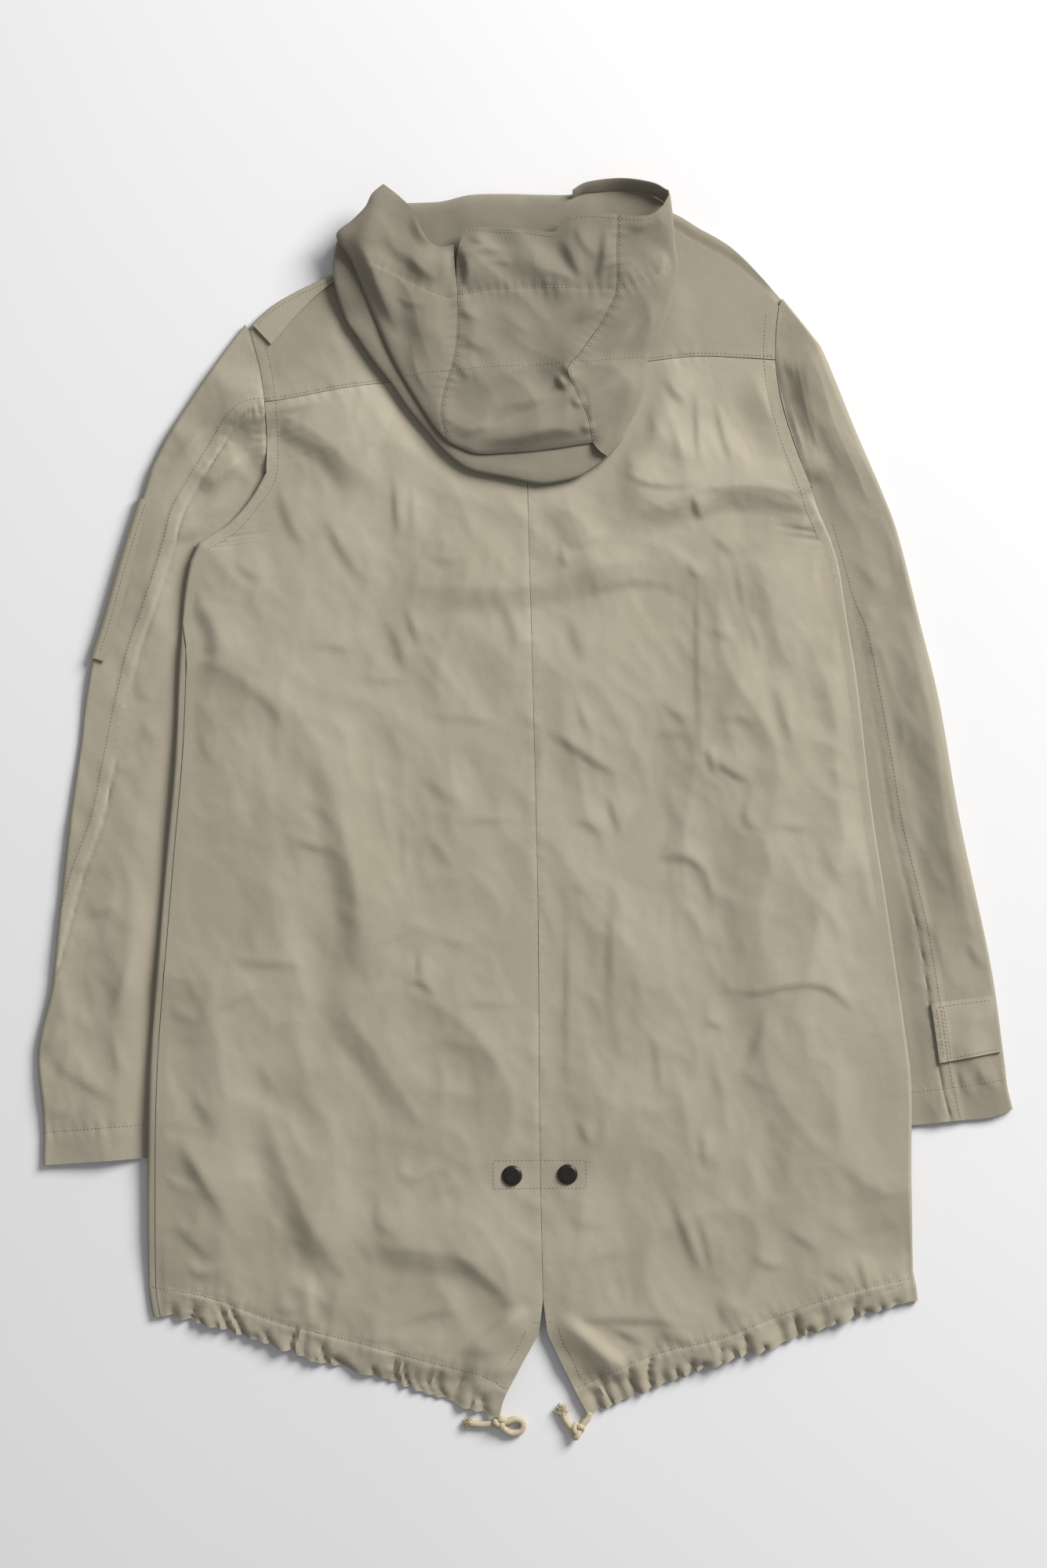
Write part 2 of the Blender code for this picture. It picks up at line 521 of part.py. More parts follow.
def body_panel(shape, height, **options):
    """A back or front half: a flat patch and the columns of its turned edge beside it."""
    edge = BodySide(shape.hand)
    shared = shape.brim / shape.columns
    first = shape.row_marks[1][0]

    def brim_end(r):
        return np.column_stack(edge.brim(r, np.ones(len(r)), shape.upper))

    ends = brim_end(np.array([first, SIDE_ROWS], dtype=float))
    top = side(trimmed(shape.top, np.hypot(*(ends[0, :2] - shape.top[0]))))
    foot = side(trimmed(shape.foot, np.hypot(*(ends[1, :2] - shape.foot[0]))))

    def place(u, v):
        r = np.interp(v * shape.rows, *shape.row_marks)
        flat_u = np.clip((u - shared) / (1 - shared), 0, 1)
        ends = brim_end(r)
        down = (r - first) / (SIDE_ROWS - first)
        centre = at(shape.centre, np.interp(r, *shape.centre_marks))
        one = np.ones(1)
        a, b = flat_u[:, None], down[:, None]
        x, y = ((1 - b) * top(flat_u) + b * foot(flat_u) + (1 - a) * ends[:, :2] + a * centre
                - (1 - a) * (1 - b) * top(one * 0) - a * (1 - b) * top(one)
                - (1 - a) * b * foot(one * 0) - a * b * foot(one)).T
        step_back = ends[:, 2] - height(ends[:, 0], ends[:, 1])
        z = height(x, y) + step_back * (1 - ease(0, 0.2, flat_u))
        near = edge.brim(r, np.clip(u / shared, 0, 1), shape.upper)
        x, y, z = (np.where(u < shared - 1e-6, n, f) for n, f in zip(near, (x, y, z)))
        if shape.upper:
            depth = ease(14.6, SIDE_ROWS, r) * ease(shared, shared + 0.08, u)
            turns = (u - shared) * shape.columns * (HEM_CUTS + 1) * math.pi
            wave = gathered(x, turns, depth)
            y = y + 0.5 * wave * ease(15.2, SIDE_ROWS, r)
            z = z + wave + 0.8 * GATHER_RISE * depth
        return x, y, z

    return panel(shape.name, shape.columns, shape.rows, place, **options)


def back_panel(name, hand):
    """One half of the back, from the yoke to the gathered hem."""
    yoke, hem, slit = YOKE_SEAM_LEFT, HEM_LEFT, SLIT_LEFT
    if hand < 0:
        yoke, hem, slit = YOKE_SEAM_RIGHT[::-1], HEM_RIGHT[::-1], SLIT_RIGHT
    centre = aside(smooth(CENTRE_BACK), -hand * SEAM / 2)
    centre = np.vstack((centre[:-1], smooth(slit)[1:]))
    shape = BodyPanel(
        name, hand, True, aside(smooth(yoke), -hand * (SEAM / 2 + RIM_TILT)), smooth(hem), centre,
        BACK_COLUMNS, BACK_ROWS, BACK_BRIM, ((0, 4, 8, 35, 38), (2, 4, 6, 15, 16)),
        ((2, 4, 6, 14.333, 15, 16), (0, 0.075, 0.155, 0.905, 0.972, 1)))
    body_panel(shape, back_height,
               finer=(35 / BACK_ROWS - 1e-3, BACK_BRIM / BACK_COLUMNS, HEM_CUTS))


def front_panel(name, hand):
    """One front, flat on the floor, its side turned up round the edge to the side seam."""
    shoulder, neck, hem = SHOULDER_LEFT, FRONT_NECK_LEFT, FRONT_HEM_LEFT
    if hand < 0:
        shoulder, neck, hem = SHOULDER_RIGHT[::-1], FRONT_NECK_RIGHT[::-1], FRONT_HEM_RIGHT[::-1]
    top = np.vstack((aside(smooth(shoulder), -hand * SHOULDER_INSET), smooth(neck)[2:]))
    centre = aside(smooth(CENTRE_FRONT), -hand * SEAM / 2)
    shape = BodyPanel(
        name, hand, False, top, smooth(hem), centre, FRONT_COLUMNS, SIDE_ROWS, FRONT_BRIM,
        ((0, SIDE_ROWS), (0, SIDE_ROWS)), ((0, 2, 4, 6, 15, 16), (0, 0.09, 0.16, 0.235, 0.98, 1)))
    body_panel(shape, front_height)


def yoke_panel():
    """The yoke across the shoulders, its middle hidden by the hood."""
    top = [aside(smooth(line), -SHOULDER_INSET)
           for line in (SHOULDER_LEFT, BACK_NECK, SHOULDER_RIGHT)]
    foot = [aside(smooth(line), SEAM / 2 + RIM_TILT) for line in (YOKE_SEAM_LEFT, YOKE_SEAM_RIGHT)]
    left = aside(smooth(YOKE_ARMHOLE_LEFT), SEAM / 2)
    right = aside(smooth(YOKE_ARMHOLE_RIGHT), -SEAM / 2)

    def place(u, v):
        x, y = patch(u, v, side(top[0], 0.36, top[1], 0.7, top[2], 1.0),
                     side(foot[0], 0.5, foot[1], 1.0), side(left), side(right)).T
        return x, y, back_height(x, y)

    panel("yoke", 28, 4, place)


Sleeve = namedtuple("Sleeve", "name hand top shoulder outer inner cuff pit_top")
SLEEVES = (
    Sleeve("sleeve_left", 1, SLEEVE_TOP_LEFT, SLEEVE_SHOULDER_LEFT, SLEEVE_OUTER_LEFT,
           SLEEVE_INNER_LEFT, CUFF_END_LEFT, PIT_TOP_LEFT),
    Sleeve("sleeve_right", -1, SLEEVE_TOP_RIGHT, SLEEVE_SHOULDER_RIGHT, SLEEVE_OUTER_RIGHT,
           SLEEVE_INNER_RIGHT, CUFF_END_RIGHT, PIT_TOP_RIGHT),
)
SLEEVE_ROWS, HEAD_ROWS = 20, 5
HEAD_SPOTS = (0.2, 1, 2, 3, 3.5, 4)      # rows of the armhole that the sleeve's head meets
UPPER_END, INNER_END, LOWER_END, OUTER_END = 8, 12, 18, 22    # columns of a sleeve's tube


def sleeve(shape):
    """A sleeve: one piece of cloth round the arm, open at its cuff and along the armhole."""
    pit = HEAD_ROWS / SLEEVE_ROWS
    top, cuff = side(smooth(shape.top)), side(smooth(shape.cuff))
    outer = side(smooth(shape.shoulder), pit, smooth(shape.outer), 1.0)
    edge, below = BodySide(shape.hand), smooth(shape.inner)

    def inner(v):
        head = edge.armhole(np.interp(v * SLEEVE_ROWS, range(HEAD_ROWS + 1), HEAD_SPOTS))
        return np.where((v < pit + 1e-6)[:, None], head, at(below, (v - pit) / (1 - pit)))

    def place(u, v):
        k = u * OUTER_END
        out_x, out_y = outer(v).T
        in_x, in_y = inner(v).T
        wide = np.hypot(out_x - in_x, out_y - in_y)
        half_out = (sleeve_height(out_x, out_y) - sleeve_low(out_x, out_y)) / 2
        half_in = np.where(v > pit - 1e-6, SLEEVE_RISE / 2, 0.0)
        start, stop = half_out / wide, 1 - half_in / wide
        turn_in = math.pi * (0.5 - (k - UPPER_END) / (INNER_END - UPPER_END))
        turn_out = math.pi * ((k - LOWER_END) / (OUTER_END - LOWER_END) - 0.5)
        below = (k - INNER_END) / (LOWER_END - INNER_END)
        stretch = [k <= UPPER_END, k < INNER_END, k <= LOWER_END]
        across = np.select(stretch, [start + (stop - start) * k / UPPER_END,
                                     1 - half_in * (1 - np.cos(turn_in)) / wide,
                                     stop + (start - stop) * below],
                           half_out * (1 - np.cos(turn_out)) / wide)
        level = np.select(stretch, [1.0, np.sin(turn_in), -1.0], np.sin(turn_out))
        x, y = patch(across, v, top, cuff, outer, inner).T
        sewn = 1 - ease(0, 26, (1 - across) * wide)
        sewn = sewn * ease(shape.pit_top, shape.pit_top + 24, in_y)
        high = sleeve_height(x, y) + sewn * (back_height(in_x + shape.hand * 3, in_y)
                                             - sleeve_height(in_x, in_y))
        low = sleeve_low(x, y)
        return x, y, (high + low) / 2 + level * (high - low) / 2

    panel(shape.name, OUTER_END, SLEEVE_ROWS, place,
          tube=(pit, UPPER_END / OUTER_END, INNER_END / OUTER_END))


def turned(rim, v):
    """Points along a line, and the direction to its left at each."""
    way = np.gradient(rim, axis=0)
    way = at(way / np.hypot(*way.T)[:, None], v)
    return at(rim, v), np.column_stack((-way[:, 1], way[:, 0]))


def wrap_run(u, columns, over, half, under):
    """Run round an edge for edge_path: columns in the upper leg, the turn and the lower leg."""
    k = u * sum(columns)
    first, second = columns[0], columns[0] + columns[1]
    upper = half * math.pi + over * (1 - k / first)
    turn = half * math.pi * (second - k) / columns[1]
    lower = -under * (k - second) / columns[2]
    return np.select([k < first, k < second], [upper, turn], lower)


def sleeve_pocket():
    """The pocket on the left sleeve: it wraps the outer edge, so only that edge shows."""
    rim = at(SLEEVE_RIM, np.linspace(0.045, 0.28, 40))
    half, spare, columns = 4.3, 2.6, (2, 4, 2)

    def place(u, v):
        foot, into = turned(rim, v)
        over = 4.0 + 4.0 * ease(0, 0.5, v)
        inset, rise = edge_path(wrap_run(u, columns, over, half, 16.0), half)
        x, y = (foot + (inset - spare)[:, None] * into).T
        return x, y, FLOOR + half + rise

    panel("sleeve_pocket_left", sum(columns), 6, place, colour=TWILL_SHADE)


def cuff_strap():
    """The strap on the right cuff, from the sleeve's seam across to its outer edge."""
    top, foot = (side(np.array(line)) for line in CUFF_STRAP)
    left, right = (side(np.array(line)) for line in zip(*CUFF_STRAP))

    def place(u, v):
        x, y = patch(u, v, top, foot, left, right).T
        return x, y, sleeve_height(x, y) + CLOTH / 2 + STRAP / 2 + 0.7

    panel("cuff_strap_right", 6, 4, place, wall=STRAP)


def shoulder_strap_left():
    """The left epaulette, folded over the shoulder."""
    rim = at(smooth(SHOULDER_LEFT), np.linspace(0.03, 0.72, 40))
    half, columns = 2.95, (3, 4, 3)

    def place(u, v):
        foot, out = turned(rim, v)
        shows = 2.0 + 17.0 * (1 - ease(0.0, 0.85, v))
        inset, rise = edge_path(wrap_run(u, columns, shows, half, 21.0), half)
        x, y = (foot - (inset + STRAP / 2)[:, None] * out).T
        return x, y, STRAP / 2 + half + rise

    panel("epaulette_left", sum(columns), 6, place, wall=STRAP)


def shoulder_strap_right():
    """The right epaulette: it lies under the shoulder and stands out past it."""
    rim = at(smooth(SHOULDER_RIGHT), np.linspace(0.1, 0.96, 40))

    def place(u, v):
        foot, out = turned(rim, v)
        reach = 1.0 + 7.5 * (1 - ease(0.3, 1.0, v)) - 38.0 * u
        x, y = (foot + reach[:, None] * out).T
        return x, y, STRAP / 2 + 2.4 * ease(-3, 7, reach)

    panel("epaulette_right", 8, 6, place, wall=STRAP)


# ---- hood ---------------------------------------------------------------------------------

HOOD_LAYERS = 7.5          # the hood's hidden layers, pressed together


def hood_base(x, y):
    """Underside of the hood: just clear of the yoke, the back and the left strap."""
    over_strap = 3.6 * (1 - ease(-128, -100, x)) * ease(385, 410, y)
    return back_height(x, y) + CLOTH / 2 + 0.7 + over_strap


def hood_layers_top(x, y):
    """Top of the hidden layers; at the nape it rises and rolls over the neck."""
    nape = 3.5 * ease(440, 478, y)
    return hood_base(x, y) + HOOD_LAYERS + nape


def hood_under():
    """The hood's lower layers as one rounded solid; its rim shows below the upper layer."""
    left = smooth(HOOD_OUTLINE[2:12])
    right = smooth(HOOD_OUTLINE[31:20:-1])
    foot = smooth(HOOD_OUTLINE[11:22])
    top = smooth(HOOD_UNDER_TOP)
    rim = smooth(HOOD_OUTLINE[2:31] + HOOD_UNDER_TOP[::-1], 4)
    columns, rows = 14, 12
    bm = bmesh.new()
    bmesh.ops.create_grid(bm, x_segments=columns, y_segments=rows, size=0.5)
    kept = bmesh.ops.extrude_face_region(bm, geom=bm.faces[:], use_keep_orig=True)
    for vert in kept["geom"]:
        if isinstance(vert, bmesh.types.BMVert):
            vert.co.z = 1.0
    u = np.array([vert.co.x + 0.5 for vert in bm.verts])
    v = np.array([0.5 - vert.co.y for vert in bm.verts])
    level = np.array([vert.co.z for vert in bm.verts])
    u = 0.5 + 0.5 * np.sin((u - 0.5) * math.pi * 0.82) / math.sin(0.5 * math.pi * 0.82)
    v = 0.5 + 0.5 * np.sin((v - 0.5) * math.pi * 0.82) / math.sin(0.5 * math.pi * 0.82)
    x, y = patch(u, v, side(top), side(foot), side(left), side(right)).T
    low, high = hood_base(x, y), hood_layers_top(x, y)
    round_off = np.sqrt(1 - (1 - np.clip(nearest(rim, x, y)[0] / 9.0, 0, 1)) ** 2)
    spread = (high - low) / 2 * (0.28 + 0.72 * round_off)
    z = (low + high) / 2 + np.where(level > 0.5, spread, -spread)
    for vert, point in zip(bm.verts, np.column_stack((x, y, z))):
        vert.co = point
    bmesh.ops.recalc_face_normals(bm, faces=bm.faces)
    return add("hood_under", bm, TWILL_SHADE)


UPPER_RIM = smooth(HOOD_SIDE_LEFT + HOOD_FOLD[1:] + HOOD_FOLD_FOOT[1:])
UPPER_SIDE = smooth(HOOD_SIDE_RIGHT)


def hood_height(x, y):
    """Middle surface of the hood's upper layer: low at its folds, high at its mouth."""
    rest = hood_layers_top(x, y) + 0.6 + CLOTH / 2
    left = nearest(UPPER_RIM, x, y)[0]
    right = nearest(UPPER_SIDE, x, y)[0]
    rim = np.minimum(left, right)
    crown = 5.0 * np.sqrt(1 - (1 - np.clip(rim / 14.0, 0, 1)) ** 2)
    mouth = ease(395, 470, y) * (6.5 + 5.0 * ease(20, 95, x) + 3.0 * (1 - ease(-120, -70, x)))
    return rest + crown + mouth + raised(HOOD_FOLDS, x, y) * ease(0, 12, rim)


def hood_panel(name, columns, rows, top, foot, left, right):
    def place(u, v):
        x, y = patch(u, v, side(top), side(foot), side(left), side(right)).T
        return x, y, hood_height(x, y)

    return panel(name, columns, rows, place)


def hood():
    """The hood's upper layer in its three panels, and the lip that rises behind its mouth."""
    gap = SEAM / 2 + 0.1
    hood_panel("hood_left", 7, 12, smooth(HOOD_LIP_LEFT), smooth(((-73, 299), (-62.4, 287))),
               smooth(HOOD_SIDE_LEFT + HOOD_FOLD[1:-1]), aside(smooth(HOOD_SEAM_LEFT), -gap))
    hood_panel("hood_centre", 11, 14, smooth(HOOD_LIP_CROWN), smooth(HOOD_FOLD_FOOT),
               aside(smooth(HOOD_SEAM_LEFT_CROWN), gap), aside(smooth(HOOD_SEAM_RIGHT), -gap))
    hood_panel("hood_right", 6, 14, smooth(HOOD_LIP_RIGHT),
               trimmed(smooth(HOOD_FOOT_RIGHT), 1.0), aside(smooth(HOOD_SEAM_RIGHT), gap),
               smooth(HOOD_SIDE_RIGHT))
    rim = smooth(HOOD_RIM)

    def place(u, v):
        x, y = at(rim, u).T
        low = hood_base(x, y) + 2.5
        high = hood_layers_top(x, y) + 5.0 + 9.0 * ease(0.1, 0.9, u)
        return x, y - 1.6 * (1 - v), high + (low - high) * v

    panel("hood_rim_right", 10, 4, place)


# ---- snaps and cords ----------------------------------------------------------------------

Snap = namedtuple("Snap", "name x y")
SNAPS = (Snap("snap_left", -10.5, -302.5), Snap("snap_right", 34.0, -301.5))
SNAP_RADIUS = 8.1
SNAP_RISE = 2.2


def snap_cap(snap):
    """A domed snap cap on the back, turned from its half section."""
    bm = bmesh.new()
    section = ((0.0, 1.0), (0.45, 0.97), (0.8, 0.82), (0.95, 0.55), (1.0, 0.25), (0.96, 0.0),
               (0.0, 0.0))
    points = [bm.verts.new((r * SNAP_RADIUS, 0, h * SNAP_RISE)) for r, h in section]
    for a, b in zip(points, points[1:]):
        bm.edges.new((a, b))
    bmesh.ops.spin(bm, geom=bm.verts[:] + bm.edges[:], axis=(0, 0, 1), cent=(0, 0, 0),
                   angle=2 * math.pi, steps=16, use_merge=True)
    bmesh.ops.remove_doubles(bm, verts=bm.verts, dist=1e-4)
    bmesh.ops.recalc_face_normals(bm, faces=bm.faces)
    ring = np.linspace(0, 2 * math.pi, 12)
    under = back_height(snap.x + SNAP_RADIUS * np.cos(ring), snap.y + SNAP_RADIUS * np.sin(ring))
    for vert in bm.verts:
        vert.co += type(vert.co)((snap.x, snap.y, under.max() + CLOTH / 2 + 0.5))
    return add(snap.name, bm, SNAP_BROWN, roughness=0.35)


CORD = 5.6
Route = namedtuple("Route", "name points")
CORD_ROUTES = (
    Route("cord_left_tail", ((-26.6, -502.6, 3.9), (-34, -503.3, 3.3), (-41, -502.6, 3.1),
                             (-48, -502, 3.1))),
    Route("cord_left_loop", ((-13.5, -499.6, 4.4), (-8, -498.9, 3.9), (-3.2, -500.4, 3.4),
                             (-1.6, -504.2, 3.1), (-3.4, -508.2, 3.1), (-8, -510.0, 3.4),
                             (-13.5, -509.2, 4.0))),
    Route("cord_right_lead", ((51.3, -495.2, 4.2), (50.1, -498.2, 4.4), (47.3, -501.5, 4.8))),
    Route("cord_right_tail", ((36.2, -504.5, 4.0), (33, -500.5, 3.5), (30.5, -496, 3.2),
                              (28.5, -490, 3.1))),
)
Knot = namedtuple("Knot", "name centre size turn")
KNOTS = (
    Knot("cord_left_knot", (-20.3, -501.4, 4.9), (13.0, 12.6, 9.6), 0.0),
    Knot("cord_right_knot", (42.0, -507.6, 4.9), (11.6, 17.0, 9.6), -0.35),
)


def cord(route):
    """A free end of the hem's drawcord, on the floor."""
    curve = bpy.data.curves.new(route.name, "CURVE")
    curve.dimensions = "3D"
    curve.bevel_depth = CORD / 2 * MM
    curve.bevel_resolution = 2
    curve.use_fill_caps = True
    points = smooth(route.points, 3)
    spline = curve.splines.new("POLY")
    spline.points.add(len(points) - 1)
    for spot, (x, y, z) in zip(spline.points, points):
        spot.co = ((x - CENTRE[0]) * MM, (y - CENTRE[1]) * MM, z * MM, 1)
    curve.materials.append(finish(route.name, CORD_CREAM))
    piece = bpy.data.objects.new(route.name, curve)
    PARKA.objects.link(piece)
    return piece


def knot(shape):
    """A stopper knot as the rounded lump that its turns fill."""
    bm = bmesh.new()
    bmesh.ops.create_uvsphere(bm, u_segments=14, v_segments=8, radius=0.5)
    for vert in bm.verts:
        x, y, z = vert.co
        angle = math.atan2(y, x)
        swell = 1 + 0.07 * math.cos(3 * angle) * math.sqrt(x * x + y * y) * 2
        x, y, z = x * shape.size[0] * swell, y * shape.size[1] * swell, z * shape.size[2]
        c, s = math.cos(shape.turn), math.sin(shape.turn)
        vert.co = (shape.centre[0] + c * x - s * y, shape.centre[1] + s * x + c * y,
                   shape.centre[2] + z)
    return add(shape.name, bm, CORD_CREAM)


PARKA = start_afresh()
back_panel("back_left", 1)
back_panel("back_right", -1)
yoke_panel()
front_panel("front_left", 1)
front_panel("front_right", -1)
for shape in SLEEVES:
    sleeve(shape)
sleeve_pocket()
cuff_strap()
shoulder_strap_left()
shoulder_strap_right()
hood_under()
hood()
for snap in SNAPS:
    snap_cap(snap)
for route in CORD_ROUTES:
    cord(route)
for shape in KNOTS:
    knot(shape)
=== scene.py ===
# %% [markdown]
# # A fishtail parka, laid out on its front
#
# The coat lies face down on a pale table and is seen from straight above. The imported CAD
# model gives its true size and where each piece is, so it is loaded first as a fixed frame.
# The pieces below are finer copies of its solids: the same outline and the same lie, with the
# creases, gathers and seams that a plain solid leaves out. Stitches and frayed ends are added.

# %% Load the frame
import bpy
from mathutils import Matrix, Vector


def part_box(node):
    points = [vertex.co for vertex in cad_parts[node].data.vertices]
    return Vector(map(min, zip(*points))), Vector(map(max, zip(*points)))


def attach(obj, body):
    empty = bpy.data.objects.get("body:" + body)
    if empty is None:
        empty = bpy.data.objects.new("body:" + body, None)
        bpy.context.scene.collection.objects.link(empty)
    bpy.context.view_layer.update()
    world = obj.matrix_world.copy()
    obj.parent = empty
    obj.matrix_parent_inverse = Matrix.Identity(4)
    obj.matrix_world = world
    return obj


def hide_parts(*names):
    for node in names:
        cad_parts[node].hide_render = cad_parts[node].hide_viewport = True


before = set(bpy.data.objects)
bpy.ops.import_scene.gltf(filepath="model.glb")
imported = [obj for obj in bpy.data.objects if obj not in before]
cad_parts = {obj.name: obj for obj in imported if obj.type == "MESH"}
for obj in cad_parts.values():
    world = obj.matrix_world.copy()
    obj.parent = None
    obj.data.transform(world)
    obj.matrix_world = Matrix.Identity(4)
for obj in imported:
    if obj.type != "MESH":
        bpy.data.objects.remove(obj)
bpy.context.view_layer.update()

# %% Tools and units
import math
from collections import namedtuple

import bmesh
import bpy
import numpy as np
from mathutils import Matrix, Vector, noise
from mathutils.bvhtree import BVHTree

MM = 0.001
CENTRE = (0.2, 0.37)        # the tables are in millimetres from a point beside the origin


def spot(x, y, z=0.0):
    """A place of the tables, in metres in the row frame."""
    return Vector(((x - CENTRE[0]) * MM, (y - CENTRE[1]) * MM, z * MM))


# %% [markdown]
# ## Camera, table and light
#
# The photograph was taken from straight above, so the camera looks down the Z axis. A long
# lens keeps the hood, which stands higher, from leaning outwards. The light in the photograph
# is soft and comes from the upper right: slopes that face it are bright, slopes that face
# away are dark, and that is all that draws the creases. One large lamp low on that side does
# it, with an even pale sky to fill the shade. It stands well off, so that the table falls
# only from white to pale grey across the picture. The view is set to Standard, which keeps a
# white table white.

# %% Camera
LENS, SENSOR = 85.0, 36.0
VIEW_HEIGHT = 1.26          # metres of table from the top of the picture to its foot
CLOTH_LEVEL = 0.006         # the height at which the picture was measured
AIM = (-1.3, 12.0)          # the middle of the picture, in millimetres

camera_data = bpy.data.cameras.new("camera")
camera_data.lens, camera_data.sensor_width = LENS, SENSOR
camera = bpy.data.objects.new("camera", camera_data)
camera.location = spot(*AIM)
camera.location.z = VIEW_HEIGHT * LENS / SENSOR + CLOTH_LEVEL
bpy.context.scene.collection.objects.link(camera)
bpy.context.scene.camera = camera
print("camera height:", round(camera.location.z, 3), "m")

# %% Table
TABLE_SIZE = 6.0
bm = bmesh.new()
bmesh.ops.create_grid(bm, x_segments=1, y_segments=1, size=TABLE_SIZE / 2)
table_mesh = bpy.data.meshes.new("table_top")
bm.to_mesh(table_mesh)
bm.free()
table_top = bpy.data.objects.new("table_top", table_mesh)
bpy.context.scene.collection.objects.link(table_top)

# %% Light
LAMP_PLACE, LAMP_SIZE, LAMP_WATTS = (2.8, 2.5, 2.5), 2.3, 285.0
LAMP_COLOUR = (1.0, 0.985, 0.96)
SKY = (0.85, 0.86, 0.89, 1.0)
SKY_STRENGTH = 0.34

lamp_data = bpy.data.lights.new("window", "AREA")
lamp_data.shape, lamp_data.size, lamp_data.energy = "DISK", LAMP_SIZE, LAMP_WATTS
lamp_data.color = LAMP_COLOUR
lamp = bpy.data.objects.new("window", lamp_data)
lamp.location = LAMP_PLACE
lamp.rotation_euler = (-Vector(LAMP_PLACE)).to_track_quat("-Z", "Y").to_euler()
bpy.context.scene.collection.objects.link(lamp)
sky = bpy.data.worlds.new("sky")
sky.use_nodes = True
dome = sky.node_tree.nodes["Background"].inputs
dome["Color"].default_value, dome["Strength"].default_value = SKY, SKY_STRENGTH
bpy.context.scene.world = sky
bpy.context.scene.view_settings.view_transform = "Standard"

# %% [markdown]
# ## Finishes
#
# A finish is a small program of nodes. Written one node at a time it is long and hard to
# read, so a socket is wrapped in a class that lets Python's own signs add the Math nodes:
# `1 - mask` is then a Subtract node. Any other node comes from one method.

# %% Shader sums as Python expressions
class Wire:
    """A socket that can be added, multiplied and so on."""

    def __init__(self, finish, socket):
        self.finish, self.socket = finish, socket

    def sum(self, operation, *values):
        return self.finish.node("ShaderNodeMath", {"operation": operation},
                                dict(enumerate(values)))

    def __add__(self, other):
        return self.sum("ADD", self, other)

    def __sub__(self, other):
        return self.sum("SUBTRACT", self, other)

    def __rsub__(self, other):
        return self.sum("SUBTRACT", other, self)

    def __mul__(self, other):
        return self.sum("MULTIPLY", self, other)

    __radd__, __rmul__ = __add__, __mul__

    def sine(self):
        return self.sum("SINE", self)

    def off_half(self):
        """How far a noise is from its middle: a net of sharp lines with flat cloth between."""
        return (self - 0.5).sum("ABSOLUTE")

    def clear(self):
        return self.sum("MINIMUM", self.sum("MAXIMUM", self, 0.0), 1.0)


class Finish:
    """A material, its nodes and its shader."""

    def __init__(self, name, **constant):
        self.material = bpy.data.materials.new(name)
        self.material.use_nodes = True
        self.tree = self.material.node_tree
        self.shader = self.tree.nodes["Principled BSDF"]
        for socket, value in constant.items():
            self.shader.inputs[socket.replace("_", " ").title()].default_value = value

    def node(self, kind, settings, values, out=0):
        new = self.tree.nodes.new(kind)
        for name, value in settings.items():
            setattr(new, name, value)
        for name, value in values.items():
            if isinstance(value, Wire):
                self.tree.links.new(value.socket, new.inputs[name])
            else:
                new.inputs[name].default_value = value
        return Wire(self, new.outputs[out])

    def feed(self, name, wire):
        self.tree.links.new(wire.socket, self.shader.inputs[name])

    def noise(self, where, scale, detail=2.0, rough=0.5):
        return self.node("ShaderNodeTexNoise", {}, {"Vector": where, "Scale": scale,
                                                    "Detail": detail, "Roughness": rough})

    def blend(self, share, first, second):
        """A colour between two colours."""
        return self.node("ShaderNodeMix", {"data_type": "RGBA"},
                         {0: share, 6: first, 7: second}, out=2)

    def bump(self, height_mm):
        return self.node("ShaderNodeBump", {}, {"Height": height_mm, "Distance": MM,
                                                "Strength": 1.0})

    def place(self):
        return self.node("ShaderNodeTexCoord", {}, {}, out="Object")

    def apart(self, vector):
        """The x and y of a vector."""
        split = self.tree.nodes.new("ShaderNodeSeparateXYZ")
        self.tree.links.new(vector.socket, split.inputs[0])
        return Wire(self, split.outputs[0]), Wire(self, split.outputs[1])


# %% [markdown]
# ### Washed cotton twill
#
# The cloth is a sturdy cotton twill in khaki, washed until it is soft. Its colour wanders a
# little over a hand's width and lightens where seams rub. Close up it has the slanting ribs
# of a twill, under a millimetre apart, which follow the cloth and not the room, so they are
# drawn on each piece's own UV map, laid out in metres. Under them a fine crumple, too small
# to model, is left to a bump. The attribute "seam" says how near a point is to a seam.

# %% Twill finish
RIB = 0.0011                # metres from one rib of the twill to the next, along the cloth
PATCH, GRAIN, RUB = 11.0, 900.0, 160.0      # noise scales, in waves to the metre
CRUMPLE_FINE, CRUMPLE_WIDE = 48.0, 17.0
TWILL_DARK = (0.326, 0.285, 0.206, 1.0)
TWILL_LIGHT = (0.412, 0.378, 0.296, 1.0)
TWILL_WORN = (0.450, 0.412, 0.322, 1.0)


